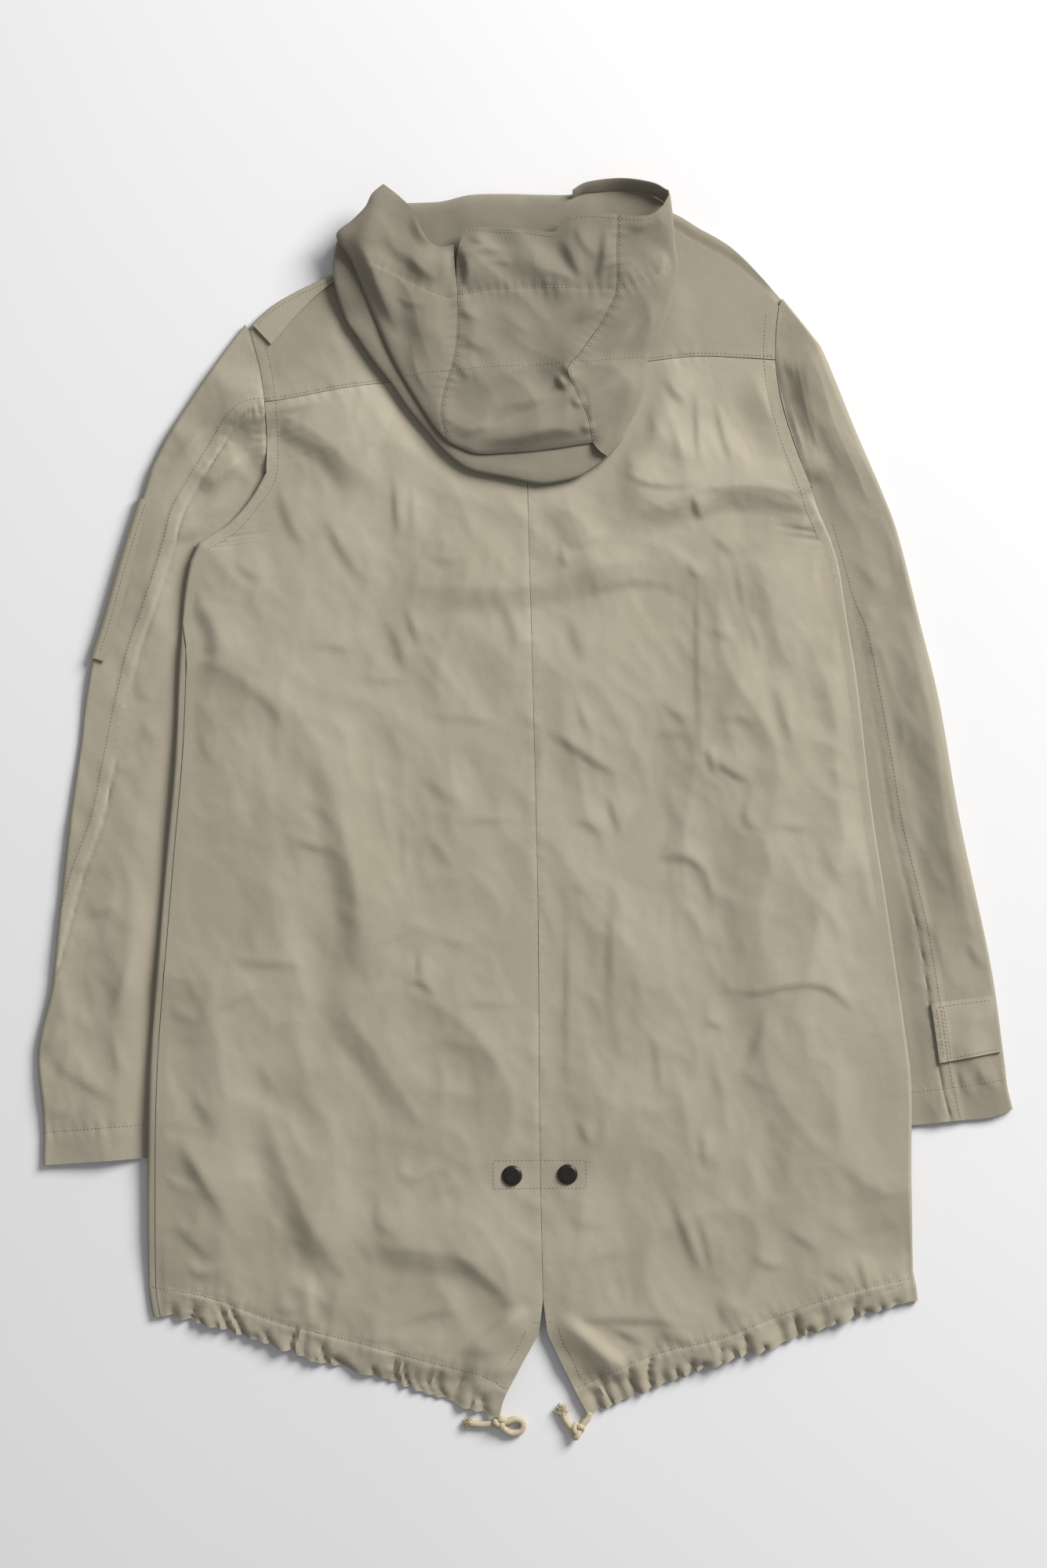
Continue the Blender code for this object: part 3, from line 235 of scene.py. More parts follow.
def twill_finish(name, dark, light, worn):
    """Twill between two tones, paler where its seams rub."""
    cloth = Finish(name, Roughness=0.88, Sheen_Weight=0.06, Sheen_Roughness=0.5)
    where = cloth.place()
    along, across = cloth.apart(cloth.node("ShaderNodeUVMap", {"uv_map": "cloth"}, {}))
    seam = cloth.node("ShaderNodeAttribute", {"attribute_name": "seam"}, {}, out="Fac")
    ribs = ((along + across) * (2 * math.pi / RIB)).sine()
    threads = ((along - across) * (2 * math.pi / (RIB * 0.5))).sine()
    patches = cloth.noise(where, PATCH, 3.0)
    grain = cloth.noise(where, GRAIN, 3.0, 0.7)
    tone = (patches - 0.5) * 1.1 + (grain - 0.5) * 0.5 + ribs * 0.05 + 0.5
    ground = cloth.blend(tone.clear(), dark, light)
    rub = (seam * (cloth.noise(where, RUB, 3.0) * 1.5 - 0.25)).clear() * 0.4
    cloth.feed("Base Color", cloth.blend(rub, ground, worn))
    cloth.feed("Roughness", patches * 0.12 + 0.8)
    lint = cloth.noise(where, 75.0, 4.0, 0.55) * 0.4
    fine = lint - cloth.noise(where, CRUMPLE_FINE).off_half() * 4.5
    wide = cloth.noise(where, CRUMPLE_WIDE).off_half() * -15.0
    pucker = seam * cloth.noise(where, 210.0, 2.0) * 0.35
    weave = ribs * 0.018 + threads * 0.008 + grain * 0.05
    cloth.feed("Normal", cloth.bump(fine + wide + pucker + weave))
    return cloth.material


def twill_part(name, share):
    """The same twill with its tones scaled by share: below 1 it is painted shade, for the yoke, the
    right sleeve and the hood.
    """
    colours = ([share * c for c in colour[:3]] + [1.0]
               for colour in (TWILL_DARK, TWILL_LIGHT, TWILL_WORN))
    return twill_finish(name, *colours)


TWILL = twill_part("washed_twill", 1.0)
# the yoke, the right sleeve and the hood take darker copies of the twill: painted shade
TWILL_SHADED = twill_part("washed_twill_painted_shade", 0.84)
TWILL_HOOD_SHADED = twill_part("washed_twill_hood_painted_shade", 0.67)


# %% [markdown]
# ### Thread, cord and metal
#
# The topstitching is a cotton thread, coloured a shade darker than the cloth as painted shade for
# the small shadow each stitch sits in. The drawcord is braided cream cotton, with the hollows
# between its strands painted darker as shade. The snaps are pressed metal with a worn dark brown
# lacquer: satin, with a bright rim on the side of the light.

# %% Thread, cord, snap and table finishes
def shaded_thread_finish():
    thread = Finish("thread", Roughness=0.75, Sheen_Weight=0.2)
    shade = thread.noise(thread.place(), 500.0)
    # the thread is a shade darker than the cloth: painted shade for the small shadow each stitch
    # sits in
    thread.feed("Base Color", thread.blend(shade, (0.22, 0.19, 0.14, 1), (0.33, 0.29, 0.22, 1)))
    return thread.material


def cord_finish():
    cord = Finish("braided_cotton", Roughness=0.9, Sheen_Weight=0.25)
    where = cord.place()
    braid = cord.node("ShaderNodeAttribute", {"attribute_name": "braid"}, {}, out="Fac")
    # the hollows between the strands, where braid is low, are painted dark brown: painted shade
    tone = (braid * 0.85 + cord.noise(where, 300.0, 3.0) * 0.4 - 0.12).clear()
    cord.feed("Base Color", cord.blend(tone, (0.27, 0.215, 0.12, 1), (0.66, 0.58, 0.41, 1)))
    cord.feed("Normal", cord.bump(cord.noise(where, 1500.0, 3.0, 0.7) * 0.12))
    return cord.material


def snap_finish():
    snap = Finish("brown_lacquer", Metallic=0.55, Coat_Weight=0.35, Coat_Roughness=0.18)
    where = snap.place()
    worn = snap.noise(where, 420.0, 4.0, 0.6)
    snap.feed("Base Color", snap.blend(worn, (0.010, 0.008, 0.007, 1), (0.040, 0.030, 0.024, 1)))
    snap.feed("Roughness", worn * 0.3 + 0.24)
    snap.feed("Normal", snap.bump(worn * 0.08))
    return snap.material


def table_finish():
    table = Finish("pale_table", Roughness=0.75)
    tone = table.noise(table.place(), 2.0, 2.0)
    table.feed("Base Color", table.blend(tone, (0.80, 0.80, 0.815, 1), (0.84, 0.84, 0.85, 1)))
    return table.material


THREAD_SHADED, CORD_COTTON, SNAP_LACQUER = shaded_thread_finish(), cord_finish(), snap_finish()
table_mesh.materials.append(table_finish())
print("finishes:", [material.name for material in bpy.data.materials])

# %% [markdown]
# ## Lines on the table
#
# Each seam and edge of the coat is a short row of points, read off the photograph in
# millimetres. A few helpers turn them into rounded lines, find points along them, move them
# aside, and tell how far a point is from one. They are the CAD source's own, so that the fine
# pieces land on the solids.

# %% Rounded lines
def smooth(points, steps=8):
    """A rounded line through the points, as an array."""
    p = np.array(points, dtype=float)
    ends = np.vstack((2 * p[0] - p[1], p, 2 * p[-1] - p[-2]))
    line = []
    for a, b, c, d in zip(ends, ends[1:], ends[2:], ends[3:]):
        for t in np.arange(steps) / steps:
            line.append(0.5 * (2 * b + (c - a) * t + (2 * a - 5 * b + 4 * c - d) * t ** 2
                               + (3 * b - a - 3 * c + d) * t ** 3))
    line.append(p[-1])
    return np.array(line)


def at(line, share):
    """Points at the given shares of a line's length."""
    run = np.hypot(*np.diff(line[:, :2], axis=0).T)
    far = np.concatenate(([0.0], np.cumsum(run)))
    where = np.asarray(share) * far[-1]
    return np.column_stack([np.interp(where, far, line[:, k]) for k in range(line.shape[1])])


def length_of(line):
    """Length of a flat line."""
    return np.hypot(*np.diff(line, axis=0).T).sum()


def aside(line, distance):
    """The line moved sideways, to the left of its direction."""
    way = np.gradient(line, axis=0)
    way /= np.hypot(way[:, 0], way[:, 1])[:, None]
    return line + distance * np.column_stack((-way[:, 1], way[:, 0]))


def joined(share, *runs):
    """Points along a side made of several lines: runs are (share where it ends, line)."""
    out = np.zeros((len(share), 2))
    start = 0.0
    for end, line in runs:
        here = (share >= start - 1e-9) & (share <= end + 1e-9)
        out[here] = at(line, (share[here] - start) / (end - start))
        start = end
    return out


def ease(a, b, x):
    """Rises smoothly from 0 at a to 1 at b."""
    t = np.clip((x - a) / (b - a), 0, 1)
    return t * t * (3 - 2 * t)


def nearest(line, x, y):
    """Distance to a line, the side it is on (left positive) and the share along it."""
    p = np.column_stack((x, y))[:, None, :]
    a, b = line[:-1], line[1:]
    way = b - a
    size = (way ** 2).sum(1)
    t = np.clip(((p - a) * way).sum(2) / size, 0, 1)
    gap = p - (a + t[:, :, None] * way)
    far = np.hypot(gap[:, :, 0], gap[:, :, 1])
    best = far.argmin(1)
    row = np.arange(len(x))
    turn = way[best, 0] * gap[row, best, 1] - way[best, 1] * gap[row, best, 0]
    run = np.concatenate(([0.0], np.cumsum(np.sqrt(size))))
    share = (run[best] + t[row, best] * np.sqrt(size[best])) / run[-1]
    return far[row, best], np.sign(turn), share


# %% [markdown]
# ## The drawcord's ends
#
# A braided cord runs through the hem's casing, and both ends come out at the slit of the
# fishtail. Each is stopped by a knot and ends in a frayed tuft. The cord is one tube along a
# route through its knot, and its surface carries the braid: two sets of strands that wind
# in opposite ways and rise where they cross over. The knot is three turns of the same tube.

# %% A braided tube
CORD = 5.6                  # diameter in millimetres
STRANDS = 6                 # strands that wind each way
PITCH = 13.0                # millimetres of cord for one turn of a strand
AROUND, ALONG = 28, 0.45    # faces round the cord, and millimetres of cord for each ring
LOW, HIGH = 0.86, 1.03      # reach of the braid's hollows and crests, in radii


def braided_tube(name, route, closed=False, thick=CORD):
    """A tube of braided strands along a route in millimetres."""
    line = smooth(route, 6) if not closed else np.array(route)
    run = np.linalg.norm(np.diff(line, axis=0), axis=1)
    far = np.concatenate(([0.0], np.cumsum(run)))
    rings = int(far[-1] / ALONG)
    where = np.linspace(0, far[-1], rings + 1)
    middle = np.column_stack([np.interp(where, far, line[:, k]) for k in range(3)])
    way = np.gradient(middle, axis=0)
    way /= np.linalg.norm(way, axis=1)[:, None]
    side = np.cross(way, (0, 0, 1))
    side /= np.linalg.norm(side, axis=1)[:, None]
    up = np.cross(side, way)
    bm = bmesh.new()
    bmesh.ops.create_grid(bm, x_segments=AROUND, y_segments=rings, size=0.5)
    turn = np.array([vert.co.x + 0.5 for vert in bm.verts]) * 2 * math.pi
    ring = np.round(np.array([vert.co.y + 0.5 for vert in bm.verts]) * rings).astype(int)
    wind = 2 * math.pi * where[ring] / PITCH
    first = np.cos(STRANDS / 2 * (turn + wind)) ** 2
    second = np.cos(STRANDS / 2 * (turn - wind)) ** 2
    over = np.cos(STRANDS * turn) * np.cos(STRANDS * wind) > 0
    braid = np.where(over, 0.35 + 0.65 * first, 0.35 + 0.65 * second)
    reach = thick / 2 * (LOW + (HIGH - LOW) * braid)
    if not closed:
        from_end = np.minimum(where[ring], far[-1] - where[ring])
        reach = reach * np.sqrt(np.clip(from_end / 1.2, 0, 1))
    points = (middle[ring] + (reach * np.cos(turn))[:, None] * side[ring]
              + (reach * np.sin(turn))[:, None] * up[ring])
    tone = bm.verts.layers.float.new("braid")
    for vert, point, value in zip(bm.verts, points, braid):
        vert.co = spot(*point)
        vert[tone] = value
    bmesh.ops.remove_doubles(bm, verts=bm.verts, dist=1e-6)
    bmesh.ops.recalc_face_normals(bm, faces=bm.faces)
    return shown(name, bm, CORD_COTTON), [spot(*point) for point in middle]


def shown(name, bm, material):
    """Turns a finished bmesh into a piece that rides on the coat."""
    mesh = bpy.data.meshes.new(name)
    bm.to_mesh(mesh)
    bm.free()
    mesh.materials.append(material)
    mesh.shade_smooth()
    piece = bpy.data.objects.new(name, mesh)
    bpy.context.scene.collection.objects.link(piece)
    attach(piece, "root")
    return piece


# %% Knots and frayed ends
Knot = namedtuple("Knot", "centre size turn")
FIBRE_FOOT, FIBRE_TIP = 0.42, 0.16      # radii of a loose fibre
FAN = 0.62                  # how far the fibres fan out


def knot_turns(name, knot):
    """A trefoil of the cord, drawn tight into the knot's own size."""
    t = np.linspace(0, 2 * math.pi, 181)
    x, y, z = np.sin(t) + 2 * np.sin(2 * t), np.cos(t) - 2 * np.cos(2 * t), -np.sin(3 * t)
    room = np.array(knot.size) / 2 - CORD * 0.46
    x, y, z = x / 3 * room[0], y / 3 * room[1], z * max(room[2], 1.2)
    c, s = math.cos(knot.turn), math.sin(knot.turn)
    route = np.column_stack((c * x - s * y, s * x + c * y, z)) + np.array(knot.centre)
    return braided_tube(name, route, closed=True, thick=CORD * 0.9)[0]


def frayed_end(name, tuft):
    """A tuft of loose fibres that fan out from a cut end."""
    rng = np.random.default_rng(tuft.seed)
    bm = bmesh.new()
    for _ in range(tuft.count):
        fan = np.array(tuft.way) + rng.normal(0, FAN, 3) * (1, 1, 0.55)
        fan = Vector(fan).normalized()
        root = Vector(tuft.foot) + Vector(rng.normal(0, 1.0, 3) * (1, 1, 0.7))
        length = tuft.size * rng.uniform(0.55, 1.0)
        middle = root + fan * length / 2
        middle.z = max(middle.z, 0.9)
        turn = fan.to_track_quat("Z", "Y").to_matrix().to_4x4()
        bmesh.ops.create_cone(bm, cap_ends=True, segments=4, radius1=FIBRE_FOOT * MM,
                              radius2=FIBRE_TIP * MM, depth=length * MM,
                              matrix=Matrix.Translation(spot(*middle)) @ turn)
    tone = bm.verts.layers.float.new("braid")
    for vert in bm.verts:
        vert[tone] = 0.75
        vert.co.z = max(vert.co.z, 0.3 * MM)
    return shown(name, bm, CORD_COTTON)


# %% The two ends
Tuft = namedtuple("Tuft", "foot way size count seed")
CordEnd = namedtuple("CordEnd", "side length nodes knot route tuft")
CORD_ENDS = (
    CordEnd("left", 0.077, ("cord_left_tail", "cord_left_loop"),
            Knot((-20.3, -501.4, 4.9), (13.0, 12.6, 9.6), 0.0),
            ((-19.5, -494.8, 4.8), (-20.4, -497.6, 5.0), (-19.2, -500.3, 4.9),
             (-16.2, -501.0, 4.6), (-12.2, -499.9, 4.2), (-8, -498.9, 3.9),
             (-3.2, -500.4, 3.4), (-1.6, -504.2, 3.1), (-3.4, -508.2, 3.1),
             (-8, -510.0, 3.4), (-13.5, -509.2, 4.0), (-20.3, -504.0, 4.6),
             (-26.6, -502.6, 3.9), (-34, -503.3, 3.3), (-41, -502.6, 3.1), (-46, -502, 3.1)),
            Tuft((-43.5, -502.2, 3.2), (-1, 0.05, 0.0), 6.5, 120, 4)),
    CordEnd("right", 0.039, ("cord_right_tail", "cord_right_lead"),
            Knot((42.0, -507.6, 4.9), (11.6, 17.0, 9.6), -0.35),
            ((52.3, -492.8, 4.2), (51.3, -495.2, 4.2), (50.1, -498.2, 4.4),
             (47.3, -501.5, 4.8), (43.5, -506.5, 5.0), (40.5, -507.6, 4.8),
             (36.2, -504.5, 4.0), (33, -500.5, 3.5), (30.5, -496, 3.2), (29.2, -492.5, 3.1)),
            Tuft((29.8, -494.0, 3.2), (-0.3, 1, 0.0), 7.5, 140, 9)),
)

for end in CORD_ENDS:
    cord, cord_line = braided_tube("drawcord_" + end.side, end.route)
    knot = knot_turns("drawcord_knot_" + end.side, end.knot)
    tuft = frayed_end("drawcord_tuft_" + end.side, end.tuft)
    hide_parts(*end.nodes)
    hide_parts(f"cord_{end.side}_knot")
    spot(*end.route[0])
    measured = sum((b - a).length for a, b in zip(cord_line, cord_line[1:]))
    print(end.side, "cord end:", round(measured * 1000, 1), "mm")

# %% [markdown]
# ## The outlines of the coat
#
# The back is two halves under a yoke. Two one-piece sleeves lie at its sides, and the fronts
# lie underneath. All lines are seen from above; left and right are those of the picture.

# %% Outlines of the back and fronts
PIT_TOP_LEFT, PIT_TOP_RIGHT = 262.0, 250.0      # y where a sleeve goes under the body
CUFF_LEFT, CUFF_RIGHT = -291.0, -262.0
YOKE_ARMHOLE_LEFT = ((-221, 376), (-213, 346), (-208.5, 318.5))
ARMHOLE_LEFT = ((-208.5, 317.8), (-207.5, 290), (-208, 262))
PIT_LEFT = ((-208, 262), (-219, 243), (-238, 221), (-262, 206))
YOKE_ARMHOLE_RIGHT = ((203.8, 396.5), (201.5, 376), (201, 353.2))
ARMHOLE_RIGHT = ((201, 352.5), (204.5, 325), (214, 291), (229, 250))
PIT_RIGHT = ((229, 250), (233, 237), (239, 223), (245, 209))
EDGE_LEFT = ((-262, 206), (-269, 190), (-274, 160), (-278, 105), (-281, 34), (-288, -45),
             (-295, -130), (-301, -210), (-303, -300), (-303, -392))
EDGE_RIGHT = ((245, 209), (252, 186), (259, 140), (267, 91), (278, -5), (290, -83),
              (305, -187), (310, -230), (310, -303), (312, -380))
HEM_END_LEFT = ((-303, -392), (-301.5, -405), (-299, -417))
HEM_END_RIGHT = ((312, -380), (314.5, -392), (316, -404))
CENTRE_BACK = ((2, 345), (2, 253), (9.8, -51), (11.7, -259), (14.8, -422.7))
SLIT_LEFT = ((14.8, -422.7), (-14, -475.7), (-21, -495))
SLIT_RIGHT = ((14.8, -422.7), (40, -475), (51.5, -495))
HEM_LEFT = ((-299, -417), (-250, -429), (-204, -442), (-162, -456.5), (-122, -465),
            (-87, -477), (-34, -493.5), (-21, -495))
HEM_RIGHT = ((51.5, -495), (83, -483), (129, -466), (193, -448), (246, -431), (290, -418.5),
             (311, -413), (316, -404))
SHOULDER_LEFT = ((-223, 379), (-204, 396), (-184, 408), (-155, 422), (-120, 439), (-95, 448))
SHOULDER_RIGHT = ((98, 471), (120, 461), (137, 450.5), (164, 436), (189, 416), (206, 399))
BACK_NECK = ((-95, 448), (-60, 434), (0, 428), (60, 440), (98, 471))
YOKE_SEAM_LEFT = ((-208.5, 318.3), (-190, 321), (-150, 329), (-110, 335), (-50, 342),
                  (2, 345))
YOKE_SEAM_RIGHT = ((2, 345), (60, 349), (99, 352), (137, 356), (170, 355), (201, 353))
FRONT_NECK_LEFT = ((-95, 448), (-66, 412), (2, 392))
FRONT_NECK_RIGHT = ((2, 392), (70, 418), (98, 471))
CENTRE_FRONT = ((2, 392), (2, 253), (9.8, -51), (14, -405))
FRONT_HEM_LEFT = ((-299, -417), (-200, -414), (14, -405))
FRONT_HEM_RIGHT = ((14, -405), (200, -408), (316, -404))
SIDE_LINES = {1: (YOKE_ARMHOLE_LEFT, ARMHOLE_LEFT, PIT_LEFT, EDGE_LEFT, HEM_END_LEFT),
              -1: (YOKE_ARMHOLE_RIGHT, ARMHOLE_RIGHT, PIT_RIGHT, EDGE_RIGHT, HEM_END_RIGHT)}

# %% Outlines of the sleeves
SLEEVE_TOP_LEFT = ((-225, 381), (-221.4, 376))
SLEEVE_SHOULDER_LEFT = ((-225, 381), (-240, 361), (-262, 330), (-285, 295), (-300, 266))
SLEEVE_OUTER_LEFT = ((-300, 266), (-307, 243), (-322, 196), (-338, 140), (-349, 103),
                     (-357, 44), (-366, -19), (-375, -100), (-380, -150), (-389, -188),
                     (-391.5, -212), (-387, -259), (-387, -294.5))
SLEEVE_INNER_LEFT = ((-208.4, 262), (-206, 220), (-198, 160), (-188, 110), (-182, 60),
                     (-188, -20), (-205, -90), (-236, -190), (-257, -286))
CUFF_END_LEFT = ((-387, -294.5), (-303, -288.5), (-257, -286))
SLEEVE_TOP_RIGHT = ((206.5, 402), (204.2, 396.5))
SLEEVE_SHOULDER_RIGHT = ((206.5, 402), (231, 371), (240, 356), (265, 296), (278, 266))
SLEEVE_OUTER_RIGHT = ((278, 266), (285, 250), (299, 213), (316, 145), (332, 79), (349, -19),
                      (373, -130), (384, -206), (387, -231), (391.5, -249.5))
SLEEVE_INNER_RIGHT = ((229.4, 250), (225, 212), (208, 165), (190, 115), (178, 60),
                      (184, -20), (206, -110), (236, -190), (262, -266))
CUFF_END_RIGHT = ((391.5, -249.5), (374, -256), (342, -259), (310, -262.5), (262, -266))
SLEEVE_SEAM_LEFT = ((-207, 312), (-226, 307), (-247, 277), (-273, 233), (-281, 205),
                    (-297, 155), (-311, 115), (-325, 54), (-339, -16), (-356, -64),
                    (-374, -132), (-382, -150), (-392, -200), (-392, -294))
SLEEVE_SEAM_RIGHT = ((240, 219), (248, 190), (258, 155), (267, 134), (277, 86), (288, 24),
                     (295, -19), (310, -82), (320, -130), (332, -212), (342, -259))
CUFF_STRAP = (((326.0, -164.0), (376.0, -157.5)), ((333.0, -212.0), (382.0, -203.0)))

# %% Outlines of the hood
HOOD_OUTLINE = ((-113, 490), (-122, 483), (-127, 472), (-138, 462), (-150, 449), (-154, 421),
                (-145, 387), (-135, 371), (-122, 352), (-107, 333), (-94, 314), (-78, 295),
                (-63, 278), (-44, 264.5), (-12, 257.5), (7, 253.5), (19, 253.5), (41, 258),
                (54, 265.5), (66, 274), (76, 286), (82, 299), (90, 314), (96, 333), (98, 352),
                (107, 371), (115, 393), (121, 421), (121.5, 430), (119, 447), (118, 460),
                (115.5, 483), (101, 491), (76, 495), (50, 493), (38, 486), (-12, 485),
                (-44, 484), (-66, 479), (-85, 478), (-92, 476), (-101, 485))
HOOD_FOLD = ((-151, 449.5), (-138, 430), (-122, 390), (-107, 355), (-91, 327), (-73, 299),
             (-62, 287))
HOOD_FOLD_FOOT = ((-62, 287), (-50, 281), (-37, 277), (-12, 278), (13, 280), (54, 286))
HOOD_LIP_LEFT = ((-113, 490), (-100, 480), (-90, 470), (-83, 455), (-76, 445), (-67, 441),
                 (-57, 443))
HOOD_LIP_CROWN = ((-49, 455.5), (-37, 457), (-22, 455.5), (0, 455), (23, 453), (29, 462),
                  (38, 466), (51, 467.5), (73.5, 466))
HOOD_LIP_RIGHT = ((73.5, 466), (92, 464.5), (101, 466), (108, 471), (112, 477), (115, 483))
HOOD_SEAM_LEFT = ((-57, 443), (-56, 425), (-54, 399), (-56, 358), (-63, 333), (-67, 310),
                  (-62, 287))
HOOD_SEAM_LEFT_CROWN = ((-49, 455.5), (-54, 436), (-55, 420), (-54, 399), (-56, 358),
                        (-63, 333), (-67, 310), (-62, 287))
HOOD_SEAM_RIGHT = ((73.5, 466), (73, 440), (73, 408), (64, 386), (45, 358), (34, 344),
                   (40, 328), (50, 305), (54, 286))
HOOD_SIDE_LEFT = ((-113, 490), (-122, 482), (-127, 472), (-138, 461), (-150.5, 449.5))
HOOD_SIDE_RIGHT = ((115, 483), (118, 460), (119, 447), (121.5, 430), (121, 420), (115, 393),
                   (107, 371), (98, 352), (96, 333), (90, 314), (82, 299), (76, 286),
                   (66, 274.5))
HOOD_FOOT_RIGHT = ((54, 286), (59, 279), (66, 274.5))
HOOD_RIM = ((38, 486.7), (50, 493), (76, 495.5), (101, 491.5), (112, 486))
HOOD_UNDER_TOP = ((-127, 472), (-100, 477), (-85, 478), (-66, 479), (-44, 484), (-12, 485),
                  (38, 484.3), (50, 491.2), (76, 494.1), (101, 490), (110, 484.8),
                  (115.5, 483))

# %% [markdown]
# ## Folds and creases
#
# A fold is a ridge with a soft slope on either hand, and every fold is drawn so that its left side
# faces the light. The large folds are the CAD model's, with the two at the slit a little crisper.
# The creases are smaller, and each one was placed where the photograph shows it: a thin dark line
# is the steep side of a ridge, and the paler band beside it is its gentle side. The hood has its
# own set, and the hem's gathers are worked out further on. Where no crease is drawn, a low uneven
# swell and crumple keep the cloth from looking ironed.

# %% The large folds
Fold = namedtuple("Fold", "rise left right crest")


def folds(*rows):
    """Folds from rows of: rise, reach of the left and the right side, points of the crest."""
    return tuple(Fold(*row[:3], row[3:]) for row in rows)


BODY_FOLDS = folds(
    (9, 45, 17, (-262, 296), (-235, 306), (-205, 310), (-178, 300), (-155, 284), (-135, 264),
     (-112, 256)),
    (4, 18, 10, (-266, 192), (-262, 165), (-250, 140), (-246, 118), (-252, 90)),
    (6, 30, 17, (-105, 182), (-85, 172), (-30, 170), (0, 170), (60, 188), (95, 190),
     (130, 182)),
    (6, 30, 16, (-172, 60), (-158, 20), (-138, -60), (-133, -100), (-128, -128), (-100, -150)),
    (5, 28, 17, (-160, -140), (-140, -175), (-118, -205), (-100, -235), (-75, -270)),
    (8, 30, 17, (-212, -240), (-196, -285), (-180, -325), (-160, -362), (-145, -385)),
    (6, 35, 17, (-140, -352), (-110, -358), (-75, -362), (-45, -370), (-15, -390)),
    (9, 30, 17, (62, 215), (92, 230), (120, 240), (150, 250), (185, 251), (212, 243),
     (232, 225), (244, 205)),
    (6, 14, 18, (180, 345), (192, 318), (205, 292), (222, 268)),
    (4, 25, 14, (186, 200), (196, 160), (205, 125), (215, 95)),
    (6, 12, 24, (290, -160), (301, -215), (302, -260), (302, -330), (303, -375)),
    (7, 12, 8, (8, -412), (-10, -418), (-30, -434), (-52, -450)),
    (7, 8, 12, (22, -416), (48, -432), (66, -448), (86, -456)),
)
SLEEVE_FOLDS = folds(
    (5, 12, 16, (-210, 318), (-240, 309), (-262, 294), (-284, 268)),
    (5, 14, 12, (-262, 248), (-243, 261), (-222, 277)),
    (6, 12, 22, (-293, -72), (-308, -108), (-322, -145), (-333, -178)),
    (7, 22, 18, (216, 382), (236, 338), (248, 300), (266, 262), (280, 226)),
    (7, 18, 20, (296, 184), (304, 145), (316, 105), (328, 50), (335, 0), (344, -60),
     (354, -130)),
)
HOOD_FOLDS = folds(
    (5, 24, 16, (-120, 470), (-128, 440), (-112, 405), (-95, 375)),
    (4, 20, 20, (-92, 452), (-80, 400), (-78, 350)),
    (7, 16, 26, (116, 435), (98, 410), (70, 385), (45, 362), (15, 335)),
    (7, 22, 14, (95, 350), (60, 325), (20, 303), (-15, 289), (-38, 283)),
    (3, 20, 20, (-20, 440), (20, 420), (40, 400)),
)

